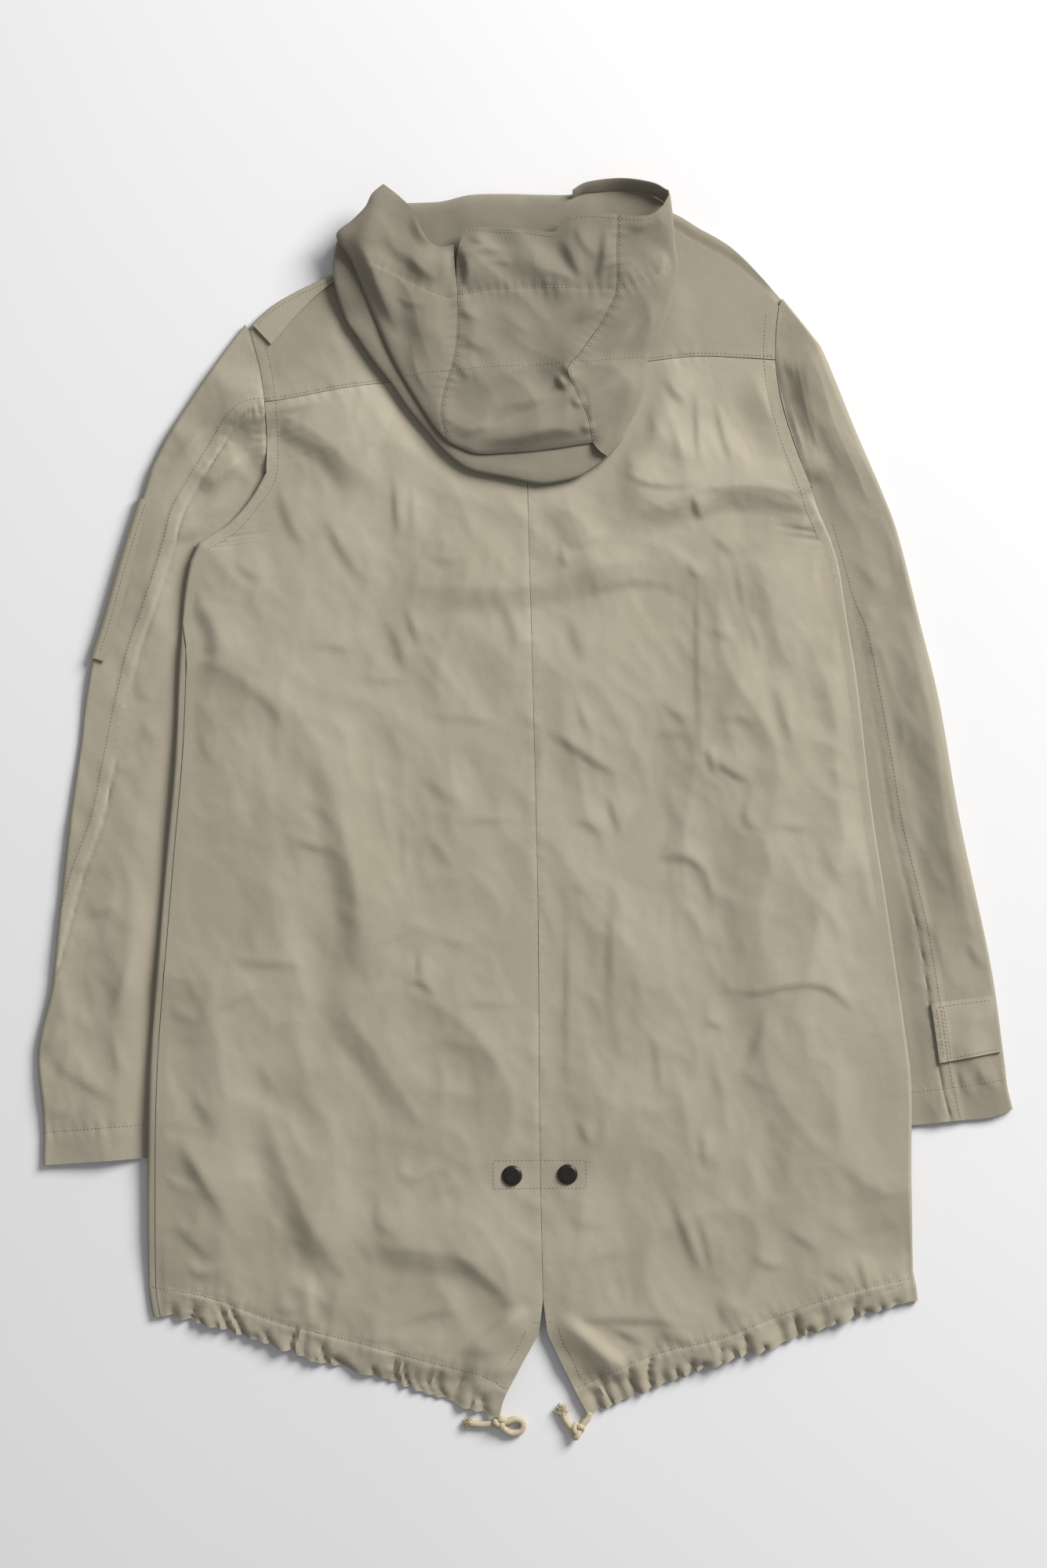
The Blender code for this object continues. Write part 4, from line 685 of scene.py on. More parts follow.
# %% Creases of the back
BACK_CREASES = folds(
    # under the yoke, left
    (2.4, 24, 7, (-198, 262), (-194, 240), (-186, 218), (-172, 198)),
    (2.6, 22, 7, (-163, 236), (-152, 212), (-140, 190), (-120, 172)),
    (2.4, 10, 4, (-104, 262), (-103, 235), (-101, 206)),
    (1.5, 9, 4, (-90, 258), (-90, 232), (-90, 206)),
    (1.3, 14, 6, (-236, 200), (-224, 184), (-204, 174)),
    (1.2, 12, 5, (-182, 130), (-165, 124), (-146, 122), (-128, 116)),
    (2.0, 18, 7, (-228, 94), (-212, 84), (-198, 70), (-192, 52)),
    (1.4, 12, 6, (-262, 60), (-255, 40), (-244, 22)),
    (2.2, 12, 5, (-96, 158), (-90, 140), (-84, 120)),
    (1.8, 12, 6, (-118, 150), (-104, 132), (-96, 108), (-88, 94)),
    (1.2, 9, 5, (-80, 196), (-60, 192), (-44, 200)),
    (1.1, 10, 5, (-140, 104), (-118, 96), (-92, 98)),
    (2.0, 14, 8, (-18, 160), (-8, 140), (-6, 112)),
    (1.0, 16, 10, (-60, 250), (-30, 236), (-6, 214)),
    # middle of the back
    (1.1, 16, 6, (-90, 70), (-50, 66), (-10, 60)),
    (1.5, 16, 7, (-92, 22), (-70, 10), (-44, -12)),
    (1.5, 16, 7, (-84, -22), (-66, -42), (-52, -62)),
    (1.4, 12, 5, (-62, -14), (-36, -16), (0, -14)),
    (2.0, 12, 6, (-190, -30), (-172, -36), (-150, -43)),
    (1.0, 10, 4, (-98, -8), (-97, -40), (-96, -70)),
    (1.8, 26, 12, (-128, 60), (-120, 20), (-112, -20), (-100, -60)),
    (1.6, 26, 14, (-215, 20), (-204, -20), (-196, -66)),
    (1.1, 14, 7, (-88, -92), (-70, -110), (-30, -118)),
    (2.8, 16, 6, (12, 58), (32, 48), (58, 30), (82, 18)),
    (1.6, 12, 5, (42, 84), (47, 66), (54, 50)),
    (2.0, 14, 5, (66, 8), (72, -10), (79, -34)),
    (1.5, 12, 6, (30, -14), (54, -20), (74, -34)),
    (2.1, 13, 5, (84, -46), (106, -47), (128, -46), (146, -60), (154, -96)),
    (1.8, 12, 5, (32, 205), (30, 196), (36, 184)),
    (1.6, 10, 6, (34, 196), (50, 208), (70, 214)),
    (2.0, 16, 8, (22, 158), (50, 168), (84, 176), (112, 172), (140, 160)),
    (1.4, 16, 8, (36, 150), (42, 130), (50, 108)),
    # under the yoke, right
    (2.2, 14, 6, (110, 344), (120, 328), (134, 316)),
    (1.7, 9, 4, (138, 332), (139, 296), (141, 262)),
    (1.8, 12, 5, (153, 328), (160, 292), (170, 262)),
    (2.0, 14, 5, (74, 268), (92, 256), (114, 252), (142, 255)),
    (3.0, 16, 4, (135, 246), (138, 234), (142, 222)),
    (1.6, 14, 8, (102, 330), (104, 300), (100, 276)),
    (1.0, 10, 6, (120, 300), (124, 278), (126, 262)),
    (1.3, 8, 3.5, (138, 206), (139, 160), (139, 110), (140, 60), (141, 24)),
    (1.3, 8, 4, (128, 192), (134, 186), (138, 176)),
    (1.4, 12, 6, (150, 214), (160, 204), (172, 196)),
    (1.5, 14, 6, (172, 196), (174, 168), (182, 138)),
    (1.8, 14, 6, (174, 156), (184, 134), (188, 116), (176, 104)),
    (1.2, 9, 5, (148, 140), (160, 132), (170, 136)),
    (1.0, 8, 5, (112, 132), (124, 128), (132, 118)),
    (2.2, 22, 9, (200, 110), (204, 84), (212, 54), (222, 22)),
    (1.8, 20, 12, (232, 120), (244, 82), (256, 40)),
    (2.2, 12, 4, (146, 44), (150, 30), (153, 18)),
    (2.2, 12, 4, (152, 34), (166, 22), (184, 14)),
    (1.6, 12, 5, (184, 12), (181, 2), (178, -16), (194, -28)),
    (1.0, 10, 5, (146, 64), (170, 66), (196, 60)),
    (1.1, 8, 5, (110, 78), (128, 66), (138, 74)),
    (0.9, 8, 5, (96, 50), (118, 54), (138, 48)),
    (1.1, 10, 4, (194, -20), (212, -22), (236, -22)),
    (1.2, 10, 5, (192, -28), (196, -48), (197, -70)),
    (1.4, 16, 9, (236, -20), (246, -50), (262, -80)),
    (1.5, 12, 8, (262, -26), (272, -60), (282, -94)),
    # lower back, left
    (1.7, 14, 7, (-240, -128), (-216, -130), (-190, -131), (-168, -136)),
    (2.4, 20, 8, (-262, -176), (-246, -168), (-226, -156), (-204, -148)),
    (1.8, 14, 7, (-268, -228), (-258, -248), (-244, -268)),
    (2.8, 20, 8, (-278, -262), (-268, -288), (-250, -318), (-230, -354)),
    (1.8, 16, 8, (-286, -330), (-270, -352), (-244, -372)),
    (2.4, 9, 8, (-276, -362), (-262, -380), (-240, -372)),
    (1.5, 18, 9, (-216, -204), (-206, -222), (-190, -246)),
    (3.0, 6, 20, (-172, -378), (-174, -400), (-171, -424)),
    (1.8, 18, 9, (-148, -380), (-152, -402), (-158, -424)),
    (2.4, 12, 5, (-100, -150), (-85, -146), (-68, -160)),
    (1.8, 9, 4, (-84, -118), (-84, -134), (-83, -150)),
    (0.9, 24, 5, (-70, -164), (-30, -164), (14, -164)),
    (1.4, 10, 5, (-106, -292), (-90, -306), (-70, -296), (-56, -304)),
    (1.3, 10, 6, (-84, -328), (-66, -314), (-46, -306)),
    (1.3, 10, 6, (-118, -318), (-116, -342), (-100, -346)),
    (1.6, 20, 12, (-72, -196), (-66, -226), (-70, -262)),
    (1.1, 18, 12, (-40, -210), (-34, -250), (-38, -284)),
    (2.4, 20, 9, (-70, -342), (-50, -368), (-26, -388), (-4, -410), (8, -420)),
    (1.8, 14, 7, (-110, -426), (-90, -416), (-64, -410), (-42, -416)),
    (1.8, 9, 12, (-62, -428), (-76, -440), (-92, -462)),
    (1.5, 12, 6, (-128, -436), (-112, -432), (-92, -440)),
    (1.3, 9, 5, (-206, -404), (-190, -410), (-178, -402)),
    # lower back, right
    (1.2, 7, 4, (34, -60), (35, -120), (34, -190), (35, -256)),
    (1.3, 12, 6, (74, -56), (71, -96), (70, -150), (72, -196)),
    (1.9, 14, 6, (102, -184), (107, -206), (110, -240)),
    (1.1, 14, 8, (86, -120), (92, -160), (92, -196)),
    (1.0, 14, 8, (60, -230), (64, -262), (60, -300)),
    (1.5, 9, 5, (42, -254), (48, -268), (56, -280)),
    (2.3, 20, 4, (144, -158), (164, -152), (184, -155), (212, -149), (240, -150), (262, -168),
     (270, -190)),
    (1.6, 10, 5, (144, -172), (152, -180), (164, -184)),
    (2.4, 20, 8, (196, -164), (190, -190), (182, -214), (176, -232)),
    (1.2, 14, 8, (150, -196), (156, -226), (160, -250)),
    (1.7, 10, 5, (143, -262), (144, -280), (147, -300)),
    (1.2, 24, 14, (210, -250), (214, -290), (206, -330)),
    (2.8, 12, 6, (118, -312), (124, -332), (133, -356), (144, -384)),
    (2.2, 14, 5, (134, -322), (143, -344), (150, -370), (154, -394)),
    (1.7, 10, 5, (182, -364), (196, -374), (212, -372)),
    (1.4, 10, 6, (204, -344), (222, -352), (240, -366)),
    (1.6, 9, 5, (236, -376), (252, -384), (258, -394)),
    (2.0, 12, 5, (268, -364), (272, -380), (278, -392)),
    (2.7, 14, 5, (18, -416), (44, -418), (72, -417), (106, -418), (144, -424)),
    (2.4, 10, 5, (60, -420), (78, -428), (100, -438)),
    (1.6, 10, 5, (102, -424), (120, -432), (136, -438)),
    (1.8, 9, 5, (156, -402), (160, -412), (164, -424)),
    (1.3, 9, 6, (150, -392), (166, -408), (186, -412)),
    (1.2, 16, 8, (30, -330), (50, -340), (80, -342)),
    (1.4, 16, 9, (36, -380), (60, -366), (92, -360)),
    (1.3, 26, 18, (240, -190), (250, -240), (248, -290)),
)

# %% Creases of the sleeves
SLEEVE_CREASES = folds(
    (1.6, 7, 12, (-298, 262), (-284, 268), (-262, 290), (-244, 302)),
    (2.4, 14, 8, (-272, 248), (-252, 256), (-234, 268), (-212, 288)),
    (2.2, 12, 8, (-268, 230), (-250, 232), (-232, 236), (-216, 250)),
    (1.8, 8, 6, (-232, 268), (-222, 256), (-212, 236)),
    (1.8, 16, 8, (-318, 96), (-306, 84), (-292, 78)),
    (1.3, 12, 7, (-310, 62), (-300, 52), (-288, 50)),
    (1.2, 10, 6, (-336, 30), (-322, 24), (-306, 26)),
    (1.8, 12, 5, (-358, -94), (-342, -90), (-322, -84)),
    (1.0, 9, 5, (-366, -60), (-352, -54), (-340, -58)),
    (3.0, 16, 12, (-300, -118), (-312, -146), (-332, -172), (-360, -188)),
    (2.4, 14, 7, (-330, -180), (-330, -198), (-324, -216), (-312, -220)),
    (1.5, 12, 5, (-384, -202), (-368, -218), (-350, -230), (-322, -246)),
    (1.6, 10, 8, (-368, -180), (-380, -194), (-388, -206)),
    (1.4, 9, 4, (-386, -256), (-372, -252), (-360, -256)),
    (1.6, 12, 14, (-300, 190), (-290, 160), (-286, 120)),
    (2.6, 16, 9, (214, 372), (220, 340), (229, 300), (244, 262)),
    (2.0, 8, 4, (212, 322), (217, 300), (226, 272)),
    (1.5, 6, 4, (204, 350), (212, 346), (218, 338)),
    (1.8, 12, 8, (250, 200), (262, 192), (280, 176), (292, 168)),
    (1.6, 8, 8, (262, 160), (272, 150), (284, 146)),
    (2.0, 7, 7, (270, 130), (276, 122), (288, 126)),
    (1.6, 12, 10, (296, 216), (306, 178), (318, 130)),
    (1.3, 12, 8, (300, 30), (306, -10), (312, -50)),
    (1.4, 8, 6, (296, 76), (304, 52), (300, 28)),
    (1.7, 9, 9, (346, -40), (352, -80), (362, -120)),
    (1.6, 8, 6, (356, -110), (362, -126), (374, -136)),
    (1.5, 10, 6, (320, -96), (330, -110), (336, -134)),
    (1.4, 7, 4, (306, -146), (314, -150), (322, -146)),
    (1.2, 6, 4, (312, -176), (318, -182), (326, -180)),
    (1.6, 7, 4, (348, -216), (352, -226), (350, -238)),
    (1.7, 7, 5, (362, -212), (368, -224), (378, -232)),
    (1.2, 6, 4, (330, -226), (334, -238), (332, -254)),
    (1.0, 6, 4, (318, -238), (320, -248), (316, -260)),
)

# %% Creases of the hood
HOOD_CREASES = folds(
    (4.5, 14, 5, (-56, 446), (-50, 436), (-46, 424), (-48, 404)),
    (3.0, 5, 16, (-66, 444), (-64, 430), (-66, 408)),
    (2.6, 12, 7, (-96, 440), (-84, 424), (-66, 412)),
    (2.2, 10, 7, (-90, 470), (-84, 452), (-72, 440)),
    (1.6, 12, 8, (-112, 460), (-104, 440), (-86, 428)),
    (2.4, 10, 6, (-50, 432), (-34, 440), (-14, 436)),
    (1.4, 7, 4, (-44, 452), (-38, 446), (-28, 444)),
    (1.3, 7, 4, (-30, 426), (-24, 430), (-8, 428)),
    (2.8, 14, 6, (28, 450), (34, 440), (42, 424), (52, 416)),
    (2.0, 12, 6, (40, 462), (46, 444), (60, 430)),
    (2.0, 10, 5, (64, 458), (64, 440), (60, 420)),
    (1.6, 9, 5, (8, 424), (26, 420), (44, 412)),
    (1.6, 6, 5, (60, 414), (62, 424), (70, 430)),
    (1.4, 5, 9, (104, 462), (92, 456), (78, 458)),
    (1.3, 8, 5, (-52, 396), (-46, 388), (-34, 384)),
    (1.4, 12, 7, (-54, 378), (-44, 366), (-24, 358)),
    (1.4, 9, 5, (-60, 350), (-50, 344), (-44, 332)),
    (1.2, 14, 8, (-20, 396), (-8, 380), (10, 372)),
    (1.8, 8, 6, (38, 382), (52, 388), (66, 398)),
    (1.8, 20, 12, (-40, 322), (-14, 340), (14, 352)),
    (3.2, 8, 4, (24, 340), (30, 332), (34, 326)),
    (3.0, 7, 4, (30, 350), (34, 342), (40, 330)),
    (2.2, 6, 4, (36, 322), (42, 316), (50, 318)),
    (1.8, 6, 4, (44, 302), (50, 296), (58, 298)),
    (1.8, 12, 10, (-30, 310), (0, 318), (30, 322)),
    (2.4, 9, 6, (-8, 290), (12, 294), (30, 296), (46, 290)),
    (1.8, 10, 6, (-56, 290), (-40, 296), (-22, 300)),
    (2.0, 7, 12, (90, 392), (80, 372), (62, 352)),
    (2.0, 7, 10, (112, 440), (108, 420), (98, 404)),
    (1.8, 14, 7, (-130, 440), (-116, 404), (-96, 366)),
    (1.6, 14, 9, (-92, 372), (-86, 340), (-72, 316)),
    (1.3, 10, 5, (-104, 404), (-92, 396), (-76, 398)),
)
print("creases placed by hand:", sum(map(len, (BACK_CREASES, SLEEVE_CREASES, HOOD_CREASES))))

# %% [markdown]
# ## Heights of the cloth
#
# One function of x and y gives the height of each layer, so pieces that meet share their
# height at the seam, and a piece that lies on another clears it. The layers are the table,
# the fronts, the sleeves between them and the back, and the hood on the yoke.

# %% Folds, puckers and swells
NEAR_FOLD = 90.0            # a fold is only worked out for points this near its box
MOST_DIP = -1.6             # what the small relief may take from the height
SOFT = (0.4, 1.9, 1.35)     # how a large fold is shaped: see raised()
ROLLED = (0.2, 1.4, 1.1)    # a fold of the hood
PRESSED = (0.85, 2.1, 1.2)  # a crease
CREASE_SHARE = 1.05         # of the creases' drawn rise
FOLD_SHARE = 0.85           # of the large folds' rise, which the creases then add to


def close_by(line, x, y, reach):
    """Which points lie within reach of a line's box."""
    low, high = np.min(line, axis=0) - reach, np.max(line, axis=0) + reach
    return np.flatnonzero((x > low[0]) & (x < high[0]) & (y > low[1]) & (y < high[1]))


def raised(ridges, x, y, crisp, long_side, short_side):
    """Height of a set of folds: each is a ridge with its own slope on either hand.

    crisp is 0 for a rounded crest and 1 for a pressed one. The drawn reaches of a fold's
    gentle and steep sides are scaled by long_side and short_side.
    """
    start, stop = 0.2 + 0.3 * crisp, 0.8 - 0.3 * crisp
    total = np.zeros(len(x))
    for fold in ridges:
        near = close_by(fold.crest, x, y, NEAR_FOLD)
        if not len(near):
            continue
        far, side, share = nearest(smooth(fold.crest, 4), x[near], y[near])
        wide, steep = max(fold.left, fold.right), min(fold.left, fold.right)
        reach = np.where(side > 0, fold.left, fold.right)
        reach = reach * np.where((reach == wide) & (wide > 1.3 * steep), long_side, short_side)
        out = np.clip(far / reach, 0, 1)
        bump = (1 - crisp) * (0.5 + 0.5 * np.cos(math.pi * out)) + crisp * (1 - out) ** 1.7
        total[near] += (fold.rise * bump * ease(-0.02, start, share)
                        * (1 - ease(stop, 1.02, share)))
    return total


def grooves(lines, x, y, depth, reach):
    """Sharp valleys that start at the hem's edge and die out at their far ends."""
    total = np.zeros(len(x))
    for number, points in enumerate(lines):
        line = smooth(points, 4)
        near = close_by(line, x, y, 2 * reach)
        if not len(near):
            continue
        far, _, share = nearest(line, x[near], y[near])
        width = reach * (1.15 + 0.35 * math.sin(2.3 * number))
        deep = depth * (1.0 + 0.35 * math.sin(1.7 * number + 0.5))
        here = deep * np.clip(1 - far / width, 0, 1) ** 1.5 * (1 - ease(0.5, 1.02, share))
        total[near] = np.minimum(total[near], -here)
    return total


def swell(x, y, size, seed):
    """An uneven low swell, between -1 and 1."""
    return np.array([noise.noise(Vector((a / size, b / size, seed))) for a, b in zip(x, y)])


def crumpled(x, y, size, seed):
    """Low ridges with flat cloth between them, as in a coat that was kept folded."""
    across, along = (0.95 * x + 0.3 * y) / size, (0.95 * y - 0.3 * x) / (1.5 * size)
    return np.array([0.6 - 2 * abs(noise.noise(Vector((a, b, seed))))
                     for a, b in zip(across, along)])


SEAM_DIP, SEAM_WIDE = 1.6, 2.4      # a seam's own groove: its share of the puckers, and reach


def puckered(line, x, y, depth, reach, pitch=7.5):
    """Short ridges across a seam, where the thread has drawn the cloth in."""
    total = np.zeros(len(x))
    near = close_by(line, x, y, 3 * reach)
    if len(near):
        far, side, share = nearest(line, x[near], y[near])
        run = share * length_of(line)
        turn = 2 * math.pi * run / pitch + 1.9 * np.sin(run / 17.0) + side * far * 0.12
        strength = 0.45 + 0.55 * np.sin(run / 11.0 + 1.0) ** 2
        total[near] = depth * np.sin(turn) * strength * np.exp(-(far / reach) ** 2)
        total[near] -= SEAM_DIP * depth * np.exp(-(far / SEAM_WIDE) ** 2)
    return total


def x_of(*lines):
    """The x of an edge as a function of y, for an edge that runs down the garment."""
    line = np.vstack([smooth(points) for points in lines])
    order = line[:, 1].argsort()
    return lambda y: np.interp(y, line[order, 1], line[order, 0])


def inside(line, x, y):
    """True for points inside a closed outline."""
    count = np.zeros(len(x), dtype=int)
    for (ax, ay), (bx, by) in zip(line, np.roll(line, -1, axis=0)):
        crosses = (ay > y) != (by > y)
        rise = by - ay if by != ay else 1e-9
        count += crosses & (x < ax + (y - ay) * (bx - ax) / rise)
    return count % 2 == 1


# %% Seams that draw the cloth in
left_x, right_x = x_of(*SIDE_LINES[1]), x_of(*SIDE_LINES[-1])
sleeve_inner_left_x = x_of(SLEEVE_INNER_LEFT)
sleeve_inner_right_x = x_of(SLEEVE_INNER_RIGHT)
SLEEVE_RIM = smooth(SLEEVE_OUTER_LEFT)
HOOD_LINE = smooth(HOOD_OUTLINE + HOOD_OUTLINE[:1], 4)
SHOULDERS = (smooth(SHOULDER_LEFT), smooth(SHOULDER_RIGHT))
ARMHOLES = (smooth(YOKE_ARMHOLE_LEFT + ARMHOLE_LEFT[1:] + PIT_LEFT[1:]),
            smooth(YOKE_ARMHOLE_RIGHT + ARMHOLE_RIGHT[1:] + PIT_RIGHT[1:]))
SLEEVE_SEAMS = (smooth(SLEEVE_SEAM_LEFT), smooth(SLEEVE_SEAM_RIGHT))
YOKE_SEAMS = (smooth(YOKE_SEAM_LEFT), smooth(YOKE_SEAM_RIGHT))
CENTRE_SEAM = smooth(CENTRE_BACK)
HEM_CASING = (smooth(((-301, -391), (-298, -392.5), (-254, -400), (-204, -418), (-159, -430),
                      (-95, -447), (-62, -455.5), (-34, -463), (-13.5, -475))),
              smooth(((42, -473), (71.5, -458.6), (111, -443.5), (156, -433), (209, -413),
                      (262, -395.6), (310, -385))))
CUFF_HEMS = (smooth(((-386, -268), (-345, -264.5), (-303, -261.5))),
             smooth(((310, -236), (350, -231), (387, -225))))
SEAM_LINES = ARMHOLES + SLEEVE_SEAMS + YOKE_SEAMS + HEM_CASING + CUFF_HEMS + (CENTRE_SEAM,)
SEAM_NEAR = 16.0            # a seam is only worked out for points this near its box
FELL = 0.7                  # height of a felled seam's band, and depth of its groove

Pucker = namedtuple("Pucker", "lines depth reach pitch")
PUCKERS = (Pucker(ARMHOLES, 0.7, 9.0, 7.5), Pucker(SLEEVE_SEAMS, 0.3, 8.0, 9.0),
           Pucker(YOKE_SEAMS + CUFF_HEMS, 0.3, 7.0, 9.0), Pucker(HEM_CASING, 0.5, 10.0, 8.0),
           Pucker((CENTRE_SEAM,), 0.22, 6.0, 12.0))


def felled(x, y):
    """The sleeves' felled seams: a groove, and the band of doubled cloth beside it."""
    total = np.zeros(len(x))
    for line, hand in zip(SLEEVE_SEAMS, (-1, 1)):
        near = close_by(line, x, y, SEAM_NEAR)
        if len(near):
            far, side, _ = nearest(line, x[near], y[near])
            band = FELL * (side == hand) * ease(0, 0.9, far) * (1 - ease(9, 12, far))
            total[near] = band - FELL * np.exp(-(far / 1.0) ** 2)
    return total


def small_relief(x, y):
    """Creases, puckers and the low swell between them."""
    relief = CREASE_SHARE * raised(BACK_CREASES + SLEEVE_CREASES, x, y, *PRESSED)
    for row in PUCKERS:
        for line in row.lines:
            relief += puckered(line, x, y, row.depth, row.reach, row.pitch)
    # a height in millimetres each, then the size of the waves and a seed
    relief += 2.4 * swell(x, y, 85.0, 0.3) + 3.0 * crumpled(x, y, 75.0, 4.7)
    relief += 1.0 * crumpled(x, y, 33.0, 1.4) + 0.4 * crumpled(x, y, 16.0, 2.2) + felled(x, y)
    return np.maximum(relief, MOST_DIP)


# %% Layers
CLOTH = 1.2                 # one layer of the twill
SEAM = 0.3                  # left between two pieces of the CAD model at a seam
SEWN = 0.2                  # from a seam's line to the cloth that is sewn on it
STRAP = 1.8                 # a strap is two layers, pressed flat
SHOULDER_INSET = 3.5        # shoulder seam inside the outline, where the straps turn
LAYER_RISE = 3.0            # back's middle surface above the front's
SLEEVE_RISE = 3.2           # sleeve's upper wall above its lower wall
SLEEVE_PUFF = 1.6           # what the upper wall stands up where nothing lies on it
SLEEVE_LIFT = 5.4           # what a hidden sleeve raises the front that lies on it
SLEEVE_RAMP = 70.0          # over which the front comes down again
STRAP_LIFT = 2.3            # what a shoulder strap raises the front that lies on it
FLOOR = CLOTH / 2           # middle surface of cloth that lies on the table
STRAP_ZONE = (30, 55)       # from a shoulder: flat up to the first, free from the second
PUFF = 2.5                  # what the back stands off the front between its edges
EDGE_EASE = 60.0            # over which it sinks to the rolled edges
HEM_LEVEL = 470.0           # below the middle: where the hem has pressed it flat


def shoulder_distance(x, y):
    """How far a point is from the nearer shoulder."""
    return np.minimum(*(nearest(line, x, y)[0] for line in SHOULDERS))


def strap_rise(x, y):
    """What the shoulder straps, lying under the shoulders, raise the layers above them."""
    return STRAP_LIFT * (1 - ease(55, 120, shoulder_distance(x, y)))


def over_sleeve(gap, y, cuff, pit_top):
    """1 where a front lies on a sleeve, falling to 0 across and at the sleeve's ends."""
    return ((1 - ease(4, 4 + SLEEVE_RAMP, gap)) * ease(cuff - 118, cuff - 50, y)
            * (1 - ease(pit_top + 2, pit_top + 42, y)))


def front_height(x, y):
    """Middle surface of the fronts: on the floor, and raised over sleeves and straps."""
    left = over_sleeve(x - sleeve_inner_left_x(y), y, CUFF_LEFT, PIT_TOP_LEFT)
    right = over_sleeve(sleeve_inner_right_x(y) - x, y, CUFF_RIGHT, PIT_TOP_RIGHT)
    return FLOOR + SLEEVE_LIFT * (left + right) + strap_rise(x, y)


def bare_back(x, y):
    """1 where the back shows, falling to 0 under the hood."""
    far = nearest(HOOD_LINE, x, y)[0]
    return np.where(inside(HOOD_LINE, x, y), 0, ease(3, 26, far))


def back_height(x, y):
    """Middle surface of the yoke and back, with their folds."""
    shoulder = shoulder_distance(x, y)
    free = ease(*STRAP_ZONE, shoulder)
    closing = (LAYER_RISE - CLOTH - SEAM) * (1 - free)
    edge = ease(0, EDGE_EASE, x - left_x(y)) * ease(0, EDGE_EASE, right_x(y) - x)
    fall = ease(0, 14, y + HEM_LEVEL) * edge
    bare = bare_back(x, y)
    puff = PUFF * fall * bare * (1 - ease(300, 360, y))
    large = FOLD_SHARE * raised(BODY_FOLDS + SLEEVE_FOLDS, x, y, *SOFT) * bare
    relief = small_relief(x, y) * bare
    relief = np.where(relief < 0, relief * (0.35 + 0.65 * edge), relief)
    return (front_height(x, y) + LAYER_RISE - closing + puff
            + (large + relief) * free
            + 0.6 * relief.clip(0, 1) * ease(6, STRAP_ZONE[0], shoulder) * (1 - free))


def sleeve_low(x, y):
    """Middle surface of a sleeve's lower wall: on the floor, and over the pocket's hem."""
    pocket = (x < 0) * ease(45, 70, y) * (1 - ease(280, 310, y))
    near = 1 - ease(50, 80, nearest(SLEEVE_RIM, x, y)[0])
    return FLOOR + strap_rise(x, y) + (CLOTH + 0.6) * pocket * near


def sleeve_height(x, y):
    """Middle surface of a sleeve's upper wall; it lies low where the body covers it."""
    covered = (ease(-28, -4, x - left_x(y)) * (x < 0) * (1 - ease(0, 26, y - PIT_TOP_LEFT))
               + ease(-28, -4, right_x(y) - x) * (x > 0) * (1 - ease(0, 26, y - PIT_TOP_RIGHT)))
    shoulder = shoulder_distance(x, y)
    past = ease(8, 60, shoulder)
    rise = SLEEVE_RISE - 0.7 * (1 - past)
    relief = FOLD_SHARE * raised(BODY_FOLDS + SLEEVE_FOLDS, x, y, *SOFT) + small_relief(x, y)
    free = SLEEVE_PUFF * past + relief * ease(*STRAP_ZONE, shoulder)
    return FLOOR + strap_rise(x, y) + rise + free * (1 - covered)


# %% [markdown]
# ## Cutting and laying a piece of cloth
#
# A piece starts as a flat grid, which is how cloth starts too. The grid's own (u, v) becomes
# its UV map in metres, so the twill runs with the cloth, and each point is then carried to
# its place on the coat. Solidify gives it its two faces and rim, and the rims are marked
# sharp so that the shading stops there. Where the work calls for a tube, the two long sides
# of the grid are joined.

# %% The cloth maker
Cut = namedtuple("Cut", "width length area")      # metres and square metres, before sewing
SEAM_REACH = 6.5            # how far a seam's worn look reaches
RIM_ANGLE = math.radians(50)    # a cloth's rims are sharper than this, its creases are not
CLOTHS = []


def seam_share(x, y):
    """1 on a seam, falling to 0 about a finger's width away."""
    best = np.full(len(x), 99.0)
    for line in SEAM_LINES:
        near = close_by(line, x, y, SEAM_NEAR)
        if len(near):
            best[near] = np.minimum(best[near], nearest(line, x[near], y[near])[0])
    return np.exp(-(best / SEAM_REACH) ** 2)


def flat_grid(columns, rows, cut):
    """A flat grid of faces whose UV map gives the cloth in metres."""
    bm = bmesh.new()
    bmesh.ops.create_grid(bm, x_segments=columns, y_segments=rows, size=0.5)
    flat = bm.loops.layers.uv.new("cloth")
    for face in bm.faces:
        for loop in face.loops:
            loop[flat].uv = ((loop.vert.co.x + 0.5) * cut.width,
                             (loop.vert.co.y + 0.5) * cut.length)
    return bm


def shares(bm):
    """The u and v of each point of a flat grid; v runs down from the top."""
    return (np.array([vert.co.x + 0.5 for vert in bm.verts]),
            np.array([0.5 - vert.co.y for vert in bm.verts]))


def carry(bm, x, y, z, near_seam):
    """Moves each point of a grid to its place and notes how near a seam it is."""
    seam = bm.verts.layers.float.new("seam")
    for vert, a, b, c, share in zip(bm.verts, x, y, z, near_seam):
        vert.co = spot(a, b, c)
        vert[seam] = share


def lay_cloth(name, node, columns, rows, place, cut, wall=CLOTH, material=TWILL, tube=None):
    """A wall of cloth: a grid of u by v whose points are carried to their place.

    tube = (v, first u, last u) joins the two long sides and leaves the strip between those
    u open as far as v.
    """
    bm = flat_grid(columns, rows, cut)
    if tube:
        spots = [(face, face.calc_center_median()) for face in bm.faces]
        gone = [face for face, centre in spots
                if 0.5 - centre.y < tube[0] and tube[1] < centre.x + 0.5 < tube[2]]
        bmesh.ops.delete(bm, geom=gone, context="FACES")
    x, y, z = place(*shares(bm))
    carry(bm, x, y, z, seam_share(x, y))
    if tube:
        bmesh.ops.remove_doubles(bm, verts=bm.verts, dist=1e-5)
    return finish_cloth(name, node, bm, cut, wall, material)


